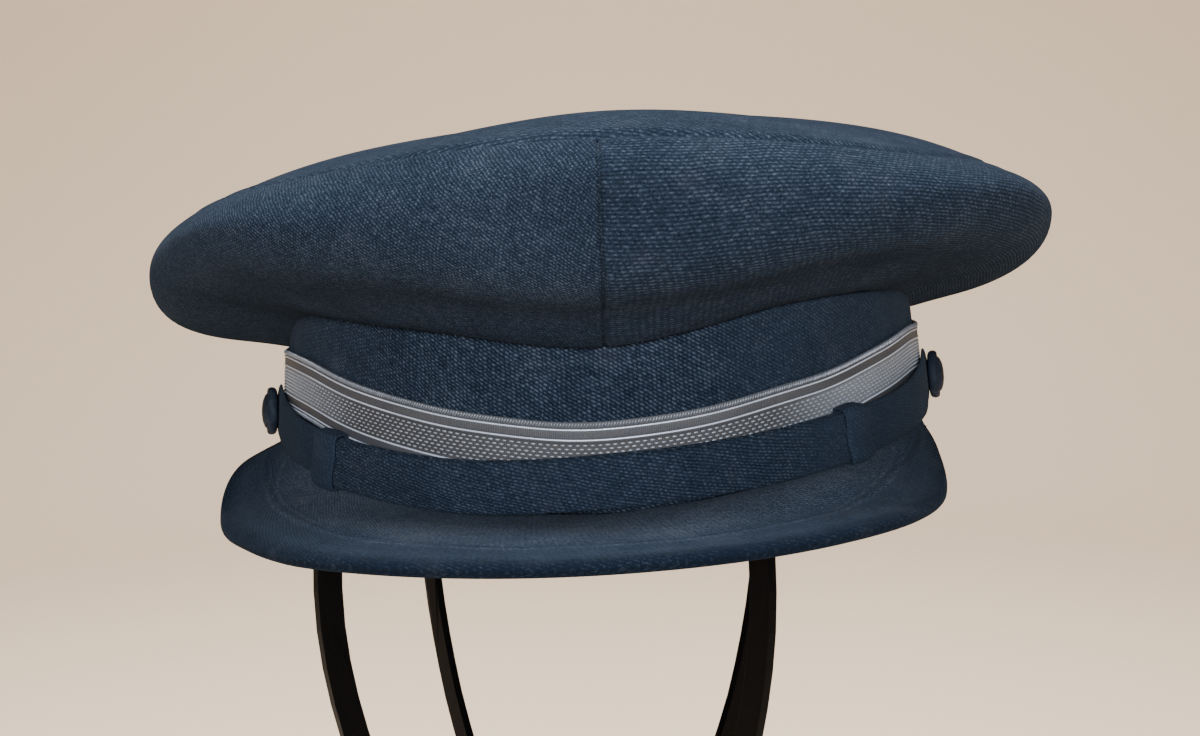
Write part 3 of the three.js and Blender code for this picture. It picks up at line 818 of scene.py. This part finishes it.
def thread_rows(name, rows, outwards, material, **inputs):
    """Small threads along rows of points on the cap, as one plain mesh."""
    tree = bpy.data.node_groups.get("threads_along_rows") or repeat_tree()
    vertices, edges, normals = [], [], []
    matrix = np.array(CAP)[:3, :3]
    for row, outward in zip(rows, outwards):
        first = len(vertices)
        vertices.extend(on_stand(row).tolist())
        normals.extend((outward @ matrix.T).tolist())
        edges.extend((first + i, first + i + 1) for i in range(len(row) - 1))
    mesh = bpy.data.meshes.new(name + "_rows")
    mesh.from_pydata(vertices, edges, [])
    layer = mesh.attributes.new("outward", "FLOAT_VECTOR", "POINT")
    layer.data.foreach_set("vector", np.array(normals, np.float32).ravel())
    piece = add_object(name, mesh, [])
    modifier = piece.modifiers.new("threads", "NODES")
    modifier.node_group = tree
    given = {"Material": material, **inputs}
    for item in tree.interface.items_tree:
        if item.item_type == "SOCKET" and item.in_out == "INPUT" and item.name in given:
            modifier[item.identifier] = given[item.name]
    depsgraph = bpy.context.evaluated_depsgraph_get()
    made = bpy.data.meshes.new_from_object(piece.evaluated_get(depsgraph), depsgraph=depsgraph)
    piece.modifiers.clear()
    piece.data = made
    made.name = name
    return piece


def crown_relief(angle, along, first, radius, climb):
    """How far the crown's cloth stands in or out: sewn edges, puckers, soft folds and, in front,
    the full lower edge. Distances are in millimetres until they leave."""
    sizes = settings()
    radius, low = radius / MM, climb / MM
    high = low[:, -1:] - low
    sides = np.radians(angle - first) * radius, np.radians(first + 90 - angle) * radius
    seam = 0.25 * bump(high - 3.2, 1.6) - 0.8 * bump(high, 0.8) - 0.3 * bump(high, 1.6)
    turn = np.radians(angle)
    tug = np.sin(low / 1.15 + 0.6 * np.sin(low / 4.1))
    slack = np.sin(low / 4.3 + 1.3 + 0.8 * np.sin(low / 9))
    gather = np.sin(turn * 61 + 1.1 * np.sin(turn * 17)) + 0.6 * np.sin(turn * 97 + 2)
    pucker = 0.5 * gather * bump(low, 5)
    for side in sides:
        seam = seam - bump(side, 0.42)
        pucker = pucker + tug * bump(side, 2.6) + 1.6 * slack * bump(side, 7)
    swell = np.sin(turn * 5 + low / 16) + 0.7 * np.sin(turn * 8 - low / 21 + 2)
    swell = swell + 0.45 * np.sin(turn * 15 + low / 9 + 1)
    inside = np.sin(np.pi * np.clip(along, 0, 1)) ** 0.8
    front = 1 - ease(np.abs((angle + 180) % 360 - 180), 25, 65)
    out = sizes.seam_depth * seam + sizes.pucker * pucker + sizes.soft_folds * swell * inside
    out = out + FRONT_FILL * front * bump(low - 7.5, 9)
    return out * ease(low, 0.6, 3.5)


def spread_columns(first, last, count):
    """Directions from one seam to the next, closer together near the seams."""
    share = np.linspace(0, 1, count)
    share = share - 0.9 * np.sin(2 * np.pi * share) / (2 * np.pi)
    return first + (last - first) * share


def crown_quarter(node, first, twill, material):
    trim = math.degrees(SEAM_OVERLAP / BAND_HALF_LENGTH)
    share = np.linspace(0, 1, 72)
    share = share - 0.55 * np.sin(2 * np.pi * share) / (2 * np.pi)
    angle, share = grid(spread_columns(first - trim, first + 90 + trim, 110), share)
    surface = quarter_surface(angle, share)
    climb = lengths(surface, 1)
    radius = np.hypot(surface[..., 0], surface[..., 1])
    surface = raised(surface, crown_relief(angle, share, first, radius, climb))
    weave = turned_weave(np.radians(angle - first - 45) * radius, climb, twill)
    piece = cloth_shell("cloth_" + node, surface, CLOTH, weave, material)
    return finish_piece(piece, "wool", node)


class PEAKEDCAP_OT_crown(bpy.types.Operator):
    """Sews the crown's four sides and its top"""

    bl_idname = "peaked_cap.crown"
    bl_label = "Crown"

    def execute(self, context):
        sizes = settings()
        cloth = wool("crown_serge")
        dotted = wool("crown_serge_left")
        crown_quarter("crown_front_right", 0, 3, cloth)
        crown_quarter("crown_back_right", 90, 20, cloth)
        crown_quarter("crown_back_left", 180, -30, cloth)
        crown_quarter("crown_front_left", 270, 40, dotted)
        share = (1 - (1 - np.linspace(0, 1, 64)) ** 1.5) * 0.9985 + 0.0015
        angle, share = grid(np.arange(0, 360, 2.0), share[::-1])
        surface = top_surface(angle, share)
        inset = lengths(surface, 1) / MM
        seam = 0.25 * bump(inset - 3, 1.6) - 1.1 * bump(inset, 1.3)
        turn = np.radians(angle)
        gather = np.sin(turn * 83 + 1.4 * np.sin(turn * 13)) + 0.6 * np.sin(turn * 131 + 1)
        x, y = surface[..., 0], surface[..., 1]
        swell = np.sin(x / (19 * MM) + 1.5 * np.sin(y / (31 * MM)))
        swell = swell + 0.6 * np.sin(y / (15 * MM) + x / (27 * MM))
        out = sizes.seam_depth * seam + sizes.pucker * 0.6 * gather * bump(inset, 5)
        out = out + sizes.soft_folds * 0.9 * swell * ease(inset, 0, 18)
        surface, weave = raised(surface, out, True), turned_weave(x, y, TOP_TWILL)
        piece = cloth_shell("cloth_crown_top", surface, CLOTH, weave, cloth, joined=True)
        finish_piece(piece, "wool", "crown_top")
        return {"FINISHED"}


class PEAKEDCAP_OT_band(bpy.types.Operator):
    """Wraps the cloth band that goes round the head"""

    bl_idname = "peaked_cap.band"
    bl_label = "Band"

    def execute(self, context):
        angle, share = grid(np.arange(0, 360, 1.5), np.linspace(0, 1, 48))
        top = band_top(angle)
        height = top * share
        up, drop = height / MM, (top - height) / MM
        turned = np.where(angle > 180, angle - 360, angle)
        welt = ease(turned, 6, 14) * (1 - ease(turned, 48, 64))
        out = 0.75 * welt * bump(drop - 2, 1.25) - 0.35 * bump(drop, 0.9) - 0.3 * bump(up, 0.8)
        out = out + 0.16 * np.sin(np.radians(turned) * 23 + drop / 5) * ease(drop, 0, 8)
        surface = raised(band_surface(angle, height), out * MM, True)
        weave = turned_weave(np.radians(turned) * BAND_HALF_LENGTH, height, BAND_TWILL)
        cloth = wool("band_serge")
        piece = cloth_shell("cloth_band", surface, BAND_WALL, weave, cloth, joined=True)
        finish_piece(piece, "wool", "band")
        return {"FINISHED"}


def lace_wobble(angle):
    turn = np.radians(angle)
    return 0.16 * MM * np.sin(turn * 7 + 1) + 0.09 * MM * np.sin(turn * 19)


def lace_point(angle, across, out=0.0):
    """A point of the lace's face, so far up from its lower edge."""
    height = lace_low(angle) + across + lace_wobble(angle)
    return band_surface(angle, height, LACE_OUTSIDE + out)


def lace_outward(angle):
    turn = np.radians(np.asarray(angle, float))
    normal = np.stack([np.sin(turn) / BAND_HALF_WIDTH, -np.cos(turn) / BAND_HALF_LENGTH, 0 * turn], -1)
    normal = normal / np.linalg.norm(normal, axis=-1, keepdims=True)
    normal[..., 2] = BAND_SLOPE
    return normal / np.linalg.norm(normal, axis=-1, keepdims=True)


def lace_cord(number, across, material):
    turn = np.arange(-180, 180, 0.9)
    spokes = np.linspace(0, 2 * np.pi, 8, endpoint=False)[None, :, None]
    middle = lace_point(turn, across + 0 * turn, 0.02 * MM)
    outward = lace_outward(turn)
    upward = np.gradient(middle, axis=0)
    upward = np.cross(outward, upward / np.linalg.norm(upward, axis=-1, keepdims=True))
    spoke = np.cos(spokes) * outward[:, None] + np.sin(spokes) * upward[:, None]
    rings = middle[:, None] + settings().cord_width / 2 * spoke
    weave = np.zeros(rings.shape[:2] + (2,))
    weave[..., 0] = (np.radians(turn) * BAND_HALF_LENGTH)[:, None]
    finish_piece(shell(f"lace_cord_{number}", rings, weave, material, joined=True), "lace")


def lace_threads(name, yarn, pitch, heights, sink, shape, stagger=0.0):
    """Raised threads round the whole lace, every other row moved on by a share of the pitch."""
    count = int(2 * np.pi * BAND_HALF_LENGTH / pitch)
    step = 360 / count
    rows, outwards = [], []
    for number, across in enumerate(heights):
        start = -180 + number % 2 * step * stagger
        turn = np.linspace(start, start + 360 - step, 361)
        rows.append(lace_point(turn, across + 0 * turn, -sink))
        outwards.append(lace_outward(turn))
    finish_piece(thread_rows(name, rows, outwards, yarn, Count=count, **shape), "lace")


class PEAKEDCAP_OT_lace(bpy.types.Operator):
    """Weaves the silver-grey lace: strip, cords, dashes and braided edges"""

    bl_idname = "peaked_cap.lace"
    bl_label = "Lace"

    def execute(self, context):
        sizes = settings()
        angle, across = grid(np.arange(-180, 180, 1.25), np.linspace(0, LACE_WIDTH, 76))
        up, down = across / MM, (LACE_WIDTH - across) / MM
        out = -0.25 * (bump(up, 0.5) + bump(down, 0.5))
        out = out - 0.14 * ease(up, 4.1, 4.6) * (1 - ease(up, 10.4, 10.9))
        for cord in LACE_CORDS:
            out = out - 0.1 * bump(up - cord / MM, 0.35)
        surface = lace_point(angle, across, out * MM)
        weave = np.stack([np.radians(angle) * BAND_HALF_LENGTH, across], -1)
        last = weave[:1] + np.array([2 * np.pi * BAND_HALF_LENGTH, 0])
        weave = np.concatenate([weave, last])
        wall = LACE_THICKNESS - GAP
        piece = cloth_shell("lace_strip", surface, wall, weave, lace_ground(), joined=True)
        finish_piece(piece, "lace", "lace_band")
        silver = lace_thread("lace_silver", 1.7)
        for number, cord in enumerate(LACE_CORDS, 1):
            lace_cord(number, cord, silver)
        yarn = lace_thread("lace_dash_yarn", 0.95)
        heights = [DASH_FIRST_ROW + number * DASH_ROW_STEP for number in range(DASH_ROWS)]
        lace_threads("lace_dashes", yarn, sizes.dash_pitch, heights, 0.06 * MM, DASH_SHAPE, 0.5)
        yarn = lace_thread("lace_braid_yarn", 0.5)
        heights = (LACE_BRAID_MIDDLE, LACE_WIDTH - LACE_BRAID_MIDDLE)
        lace_threads("lace_braid", yarn, sizes.braid_pitch, heights, 0.08 * MM, BRAID_SHAPE)
        return {"FINISHED"}


def border_line(angle):
    """How far in from its edge the peak's raised border ends."""
    reach = np.clip(visor_at(angle)[0], 0, 1)
    return settings().visor_border * np.clip(reach * 1.6, 0.3, 1)


class PEAKEDCAP_OT_visor(bpy.types.Operator):
    """Covers the peak with cloth and stitches its edge"""

    bl_idname = "peaked_cap.visor"
    bl_label = "Peak"

    def execute(self, context):
        sizes = settings()
        columns = spread_columns(-VISOR_HALF_ANGLE, VISOR_HALF_ANGLE, 181)
        angle, share = grid(columns, np.linspace(0, 1, 60) ** 1.25)
        bare = visor_surface(angle, share)
        normals = grid_normals(bare)
        inset = lengths(bare, 1) / MM
        beyond = inset - border_line(angle) / MM
        relief = 0.34 * (1 - ease(beyond, -0.7, 0.9)) + 0.22 * bump(beyond, 0.8)
        relief = relief - 0.12 * bump(beyond - 2.6, 1.1) - 0.35
        relief = relief + 0.1 * np.sin(np.radians(angle) * 21 + inset / 7) * ease(inset, 0, 5)
        face = bare + normals * (relief * MM)[..., None]
        under = bare - normals * VISOR_THICKNESS
        outward = bare[:, :1] - visor_surface(angle[:, :1], share[:, :1] + 0.02)
        outward = outward / np.maximum(np.linalg.norm(outward, axis=-1, keepdims=True), 1e-9)
        turns = np.radians(np.linspace(-90, 90, 10))[None, :, None]
        half = (VISOR_THICKNESS - 0.01 * MM) / 2
        middle = (face[:, :1] + under[:, :1]) / 2 - outward * 0.9 * MM
        upright = (face[:, :1] - under[:, :1]) / 2
        rim = middle + upright * np.sin(turns) + outward * (half * 0.9 * np.cos(turns))
        half_rim = rim.shape[1] // 2
        upper = np.concatenate([rim[:, half_rim:], face[:, VISOR_RIM_ROWS:]], axis=1)
        lower = np.concatenate([rim[:, :half_rim][:, ::-1], under[:, VISOR_RIM_ROWS:]], axis=1)
        rings = np.concatenate([upper, lower[:, ::-1]], axis=1)
        along = np.radians(angle[:, :1]) * (BAND_HALF_LENGTH + VISOR_LENGTH / 2)
        climb = lengths(upper, 1)
        weave = turned_weave(np.broadcast_to(along, climb.shape), climb, VISOR_TWILL)
        border = sizes.visor_border
        worn = ((border - 0.4 * MM, 1.3 * MM, 0.4), (border + 2.4 * MM, 1.0 * MM, 0.5))
        piece = shell("cloth_visor", rings, walled_weave(weave), wool("visor_serge", worn))
        finish_piece(piece, "wool", "visor")

        turn = np.linspace(-62, 62, 260)
        steps = np.linspace(0, 1, 200)
        fine = visor_surface(turn[:, None], steps[None, :])
        wanted = border_line(turn) + STITCH_INSET
        share = np.array([np.interp(far, way, steps) for far, way in zip(wanted, lengths(fine, 1))])
        nearest = (share * (len(steps) - 1)).astype(int)
        outward = grid_normals(fine)[np.arange(len(turn)), nearest]
        row = visor_surface(turn, share) - outward * 0.33 * MM
        run = np.linalg.norm(np.diff(row, axis=0), axis=1).sum()
        stitches = thread_rows(
            "visor_stitches",
            [row],
            [outward],
            wool("stitch_thread"),
            Count=int(run / sizes.stitch_pitch),
            Length=sizes.stitch_pitch * 0.74,
            Width=0.42 * MM,
            Height=0.36 * MM,
            Variation=0.1,
            Rings=5,
            Seed=5,
        )
        finish_piece(stitches, "wool")
        return {"FINISHED"}


def rounded(half_height, half_depth, count, power):
    """A flat rounded outline as (out, up) pairs, from the bottom up the outside and back."""
    turn = np.linspace(-np.pi / 2, 1.5 * np.pi, count, endpoint=False) + np.pi / count
    c, s = np.cos(turn), np.sin(turn)
    scale = (np.abs(c) ** power + np.abs(s) ** power) ** (-1 / power)
    return np.stack([half_depth * c * scale, half_height * s * scale], -1)


def strap_layer(name, node, side, layer, material, twill):
    own = KEEPER_ANGLE_RIGHT if side > 0 else KEEPER_ANGLE_LEFT
    far = KEEPER_ANGLE_LEFT if side > 0 else KEEPER_ANGLE_RIGHT
    keeper_end = own + KEEPER_WIDTH * DEGREES_PER_METRE
    tip = BUTTON_ANGLE + STRAP_END_WIDTH / 2 * DEGREES_PER_METRE
    start = -far - KEEPER_WIDTH / 2 * DEGREES_PER_METRE
    body = np.linspace(start, BUTTON_ANGLE - 1, 150)
    end = BUTTON_ANGLE + (tip - BUTTON_ANGLE) * np.sin(np.radians(np.linspace(0, 88, 16)))
    along = np.concatenate([body, end])
    settled = ease(along, keeper_end, BUTTON_ANGLE)
    half = (STRAP_WIDTH + (STRAP_END_WIDTH - STRAP_WIDTH) * settled) / 2
    from_tip = np.maximum(0, (tip - along) / DEGREES_PER_METRE)
    round_end = np.where(from_tip < half, np.sqrt(np.maximum(half**2 - (half - from_tip) ** 2, 1e-9)), half)
    middle = strap_middle(along * side)
    out = layer + (STRAP_AT_BUTTON - layer) * settled - STRAP_THICKNESS / 2
    wave = 0.12 * MM * np.sin(along / 4.1) + 0.08 * MM * np.sin(along / 1.7 + 1)
    deep, across = rounded(1.0, 1.0, 32, 3.4).T[:, None]
    height = middle[:, None] + across * round_end[:, None]
    swell = (0.28 * MM * (1 - across**2) + wave[:, None]) * (deep > 0)
    tilt = 0.1 * MM * np.sin(along / 6.3)[:, None] * across
    push = out[:, None] + deep * STRAP_THICKNESS / 2 + swell + tilt
    angle = (along * side)[:, None]
    rings = polar(np.broadcast_to(angle, height.shape), band_radius(angle, height) + push, height)
    u = np.radians(along * side)[:, None] * BAND_HALF_LENGTH + 0 * height
    weave = turned_weave(u[::side], height, twill)
    piece = shell(name, rings[::side], weave, material)
    return finish_piece(piece, "wool", node)


def keeper(name, node, angle, material, lean):
    """A cloth loop round both layers of the strap."""
    near = LACE_OUTSIDE + GAP + KEEPER_WALL / 2
    far = OUTER_LAYER + GAP + KEEPER_WALL / 2 + 0.25 * MM
    half = STRAP_WIDTH / 2 + GAP + KEEPER_WALL / 2
    low = float(strap_middle(angle)) - half
    high = float(strap_middle(angle)) + half
    path = rounded((high - low) / 2, (far - near) / 2, 56, 5.0)
    path = path + np.array([(near + far) / 2, (low + high) / 2])
    tangent = np.roll(path, -1, 0) - np.roll(path, 1, 0)
    tangent = tangent / np.linalg.norm(tangent, axis=1, keepdims=True)
    away = np.stack([tangent[:, 1], -tangent[:, 0]], -1)
    deep, across = rounded(KEEPER_WIDTH / 2, KEEPER_WALL / 2, 20, 3.0).T[:, None]
    rise = (path[:, 1] - path[:, 1].mean()) / (high - low)
    side = across + (0.35 * MM * np.sin(rise * 7 + angle) + lean * rise)[:, None]
    puff = 0.2 * MM * (1 - (across / (KEEPER_WIDTH / 2)) ** 2)
    laid = ease(across, KEEPER_WIDTH * 0.1, KEEPER_WIDTH * 0.48) * (angle > 0)
    place = path[:, None] + away[:, None] * (deep + puff - laid * KEEPER_WALL * 0.9)[..., None]
    turn = angle + side * DEGREES_PER_METRE
    rings = polar(turn, band_radius(turn, place[..., 1]) + place[..., 0], place[..., 1])
    climb = lengths(path[:, None], 0)[:, 0]
    weave = turned_weave(side, np.broadcast_to(climb[:, None], side.shape), KEEPER_TWILL)
    piece = shell(name, rings, weave, material, joined=True)
    return finish_piece(piece, "wool", node)


class PEAKEDCAP_OT_chin_strap(bpy.types.Operator):
    """Makes the two layers of the chin strap and their keepers"""

    bl_idname = "peaked_cap.chin_strap"
    bl_label = "Chin strap"

    def execute(self, context):
        cloth = wool("strap_serge")
        plain = wool("keeper_serge")
        strap_layer("cloth_strap_left", "chin_strap_left", -1, INNER_LAYER, cloth, 16)
        strap_layer("cloth_strap_right", "chin_strap_right", 1, OUTER_LAYER, cloth, 12)
        keeper("cloth_keeper_left", "strap_keeper_left", -KEEPER_ANGLE_LEFT, plain, 1.2 * MM)
        keeper("cloth_keeper_right", "strap_keeper_right", KEEPER_ANGLE_RIGHT, plain, -1.6 * MM)
        return {"FINISHED"}


def button(name, node, angle, material):
    """A turned disc with a raised rim, lying on the end of the strap."""
    outline = np.array(BUTTON_PROFILE) * np.array([BUTTON_RADIUS, BUTTON_THICKNESS])
    height = float(strap_middle(angle))
    normal = lace_outward(float(angle))
    middle = band_surface(np.array(float(angle)), height, STRAP_AT_BUTTON + GAP)
    side = np.cross([0, 0, 1.0], normal)
    side = side / np.linalg.norm(side)
    up = np.cross(normal, side)
    spokes = np.linspace(0, 2 * np.pi, 56, endpoint=False)
    spoke = np.cos(spokes)[:, None] * side + np.sin(spokes)[:, None] * up
    fine = np.linspace(0, len(outline) - 1, 40)
    radius = np.interp(fine, np.arange(len(outline)), outline[:, 0])
    thick = np.interp(fine, np.arange(len(outline)), outline[:, 1])
    radius[0] = radius[-1] = 0.02 * MM
    rings = middle + spoke[:, None] * radius[None, :, None] + normal * thick[None, :, None]
    weave = np.stack(np.broadcast_arrays(spokes[:, None] * BUTTON_RADIUS, thick[None, :]), -1)
    piece = shell(name, rings, weave, material, joined=True)
    return finish_piece(piece, "button", node)


class PEAKEDCAP_OT_buttons(bpy.types.Operator):
    """Turns the two side buttons"""

    bl_idname = "peaked_cap.buttons"
    bl_label = "Buttons"

    def execute(self, context):
        enamel = dark_enamel()
        button("turned_button_left", "side_button_left", -BUTTON_ANGLE, enamel)
        button("turned_button_right", "side_button_right", BUTTON_ANGLE, enamel)
        return {"FINISHED"}


class PEAKEDCAP_OT_stand(bpy.types.Operator):
    """Gives the folding stand rounded edges and a moulded plastic finish"""

    bl_idname = "peaked_cap.stand"
    bl_label = "Stand"

    def execute(self, context):
        plastic = stand_plastic()
        for node in ("stand_base", "stand_frame_a", "stand_frame_b"):
            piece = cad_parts[node]
            for slot in piece.material_slots:
                slot.material = plastic
            weld = piece.modifiers.new("weld", "WELD")
            weld.merge_threshold = 0.01 * MM
            bevel = piece.modifiers.new("edges", "BEVEL")
            bevel.width = settings().stand_edge
            bevel.segments = 2
            bevel.limit_method = "ANGLE"
            bevel.angle_limit = math.radians(50)
            bevel.use_clamp_overlap = True
        return {"FINISHED"}


def light(name, place, target, size, share, colour, spread):
    lamp = bpy.data.lights.new(name, "AREA")
    lamp.spread = math.radians(spread)
    lamp.shape = "RECTANGLE"
    lamp.size, lamp.size_y = size
    lamp.energy = settings().key_power * share
    lamp.color = colour
    holder = bpy.data.objects.new(name, lamp)
    bpy.context.scene.collection.objects.link(holder)
    holder.location = place
    holder.rotation_euler = (Vector(target) - Vector(place)).to_track_quat("-Z", "Y").to_euler()


class PEAKEDCAP_OT_stage(bpy.types.Operator):
    """Sets out the pale floor, the soft lights and the camera"""

    bl_idname = "peaked_cap.stage"
    bl_label = "Stage"

    def execute(self, context):
        sizes = settings()
        turn = np.radians(np.arange(0, 360, 5.0))
        bend = np.radians(np.linspace(0, 90, 14))
        reach = np.concatenate([[0.001, 0.6], 1.15 + 0.75 * np.sin(bend), [1.9]])
        height = np.concatenate([[0, 0], 0.75 * (1 - np.cos(bend)), [2.4]])
        vertices = [
            (r * math.cos(t), r * math.sin(t), z) for t in turn for r, z in zip(reach, height)
        ]
        count = len(reach)
        faces = []
        for i in range(len(turn)):
            nxt = (i + 1) % len(turn)
            for j in range(count - 1):
                faces.append((i * count + j, i * count + j + 1, nxt * count + j + 1, nxt * count + j))
        faces.append(tuple(i * count for i in range(len(turn))))
        mesh = bpy.data.meshes.new("studio_floor")
        mesh.from_pydata(vertices, [], faces)
        for polygon in mesh.polygons:
            if polygon.normal.z < -0.5:
                polygon.flip()
        mesh.shade_smooth()
        floor = add_object("studio_floor", mesh, [pale_floor()])
        for row in LIGHTS:
            light(*row)
        world = bpy.data.worlds.new("studio")
        world.use_nodes = True
        background = world.node_tree.nodes["Background"]
        background.inputs["Color"].default_value = (0.95, 0.97, 1.0, 1)
        background.inputs["Strength"].default_value = sizes.room_light
        context.scene.world = world
        lens = bpy.data.cameras.new("photo_camera")
        lens.lens = LENS
        lens.sensor_width = 36
        lens.clip_start = 0.01
        camera = bpy.data.objects.new("photo_camera", lens)
        context.scene.collection.objects.link(camera)
        camera.matrix_world = (
            Matrix.Translation(EYE)
            @ Matrix.Rotation(math.radians(90 - LOOK_DOWN), 4, "X")
            @ Matrix.Rotation(math.radians(LEAN), 4, "Z")
        )
        context.scene.camera = camera
        return {"FINISHED"}


def length(name, description, default):
    return bpy.props.FloatProperty(
        name=name, description=description, default=default, min=0, unit="LENGTH", precision=5
    )


def colour(name, description, default):
    return bpy.props.FloatVectorProperty(
        name=name, description=description, default=default, size=3, min=0, max=1, subtype="COLOR"
    )


class PeakedCapSettings(bpy.types.PropertyGroup):
    twill_pitch: length("Twill pitch", "Distance between the serge's rows", 0.84 * MM)
    thread_length: length("Thread length", "Length of one thread that shows in a row", 1.6 * MM)
    weave_depth: length("Weave depth", "Relief of the serge", 0.13 * MM)
    seam_depth: length("Seam depth", "How far the cloth turns in at a sewn edge", 1.0 * MM)
    pucker: length("Pucker", "Height of the small puckers beside the seams", 0.09 * MM)
    soft_folds: length("Soft folds", "Height of the crown's broad soft folds", 0.3 * MM)
    dash_pitch: length("Dash pitch", "Distance between the lace's dashes", 1.74 * MM)
    braid_pitch: length("Braid pitch", "Distance between the ticks of the braided edges", 0.7 * MM)
    cord_width: length("Cord width", "Thickness of the lace's white cords", 0.41 * MM)
    visor_border: length("Peak border", "Width of the raised border of the peak", 14.5 * MM)
    stitch_pitch: length("Stitch pitch", "Distance between the peak's stitches", 2.2 * MM)
    stand_edge: length("Stand edges", "Rounding of the stand's edges", 0.6 * MM)
    wool_dark: colour("Wool, deep", "Between the threads", (0.0018, 0.0032, 0.0064))
    wool_mid: colour("Wool", "The cloth's middle tone", (0.0097, 0.0150, 0.0250))
    wool_light: colour("Wool, raised", "The tops of the threads", (0.045, 0.059, 0.083))
    lace_silver: colour("Lace, silver", "The bright yarn", (0.25, 0.286, 0.352))
    lace_grey: colour("Lace, grey", "The grey stripes", (0.044, 0.048, 0.056))
    lace_grey_dark: colour("Lace, dark", "The shadows of the stripes", (0.009, 0.011, 0.016))
    floor_colour: colour("Floor", "The pale floor and backdrop", (0.66, 0.535, 0.405))
    key_power: bpy.props.FloatProperty(
        name="Key light", description="Power of the main light, in watts", default=30, min=0, unit="POWER"
    )
    room_light: bpy.props.FloatProperty(
        name="Room light", description="Strength of the light from all round", default=0.14, min=0
    )


class PEAKEDCAP_PT_pieces(bpy.types.Panel):
    bl_label = "Peaked Cap"
    bl_idname = "PEAKEDCAP_PT_pieces"
    bl_space_type = "VIEW_3D"
    bl_region_type = "UI"
    bl_category = "Peaked Cap"

    def draw(self, context):
        sizes = context.scene.peaked_cap
        for name in PeakedCapSettings.__annotations__:
            self.layout.prop(sizes, name)
        for operator in OPERATORS:
            self.layout.operator(operator.bl_idname)


OPERATORS = (
    PEAKEDCAP_OT_crown,
    PEAKEDCAP_OT_band,
    PEAKEDCAP_OT_lace,
    PEAKEDCAP_OT_visor,
    PEAKEDCAP_OT_chin_strap,
    PEAKEDCAP_OT_buttons,
    PEAKEDCAP_OT_stand,
    PEAKEDCAP_OT_stage,
)

CLASSES = (PeakedCapSettings, *OPERATORS, PEAKEDCAP_PT_pieces)


def register():
    for item in CLASSES:
        bpy.utils.register_class(item)
    bpy.types.Scene.peaked_cap = bpy.props.PointerProperty(type=PeakedCapSettings)


def unregister():
    del bpy.types.Scene.peaked_cap
    for item in reversed(CLASSES):
        bpy.utils.unregister_class(item)


def main():
    register()
    bpy.ops.peaked_cap.crown()
    bpy.ops.peaked_cap.band()
    bpy.ops.peaked_cap.lace()
    bpy.ops.peaked_cap.visor()
    bpy.ops.peaked_cap.chin_strap()
    bpy.ops.peaked_cap.buttons()
    bpy.ops.peaked_cap.stand()
    bpy.ops.peaked_cap.stage()
    bpy.context.view_layer.update()


if __name__ == "__main__":
    main()
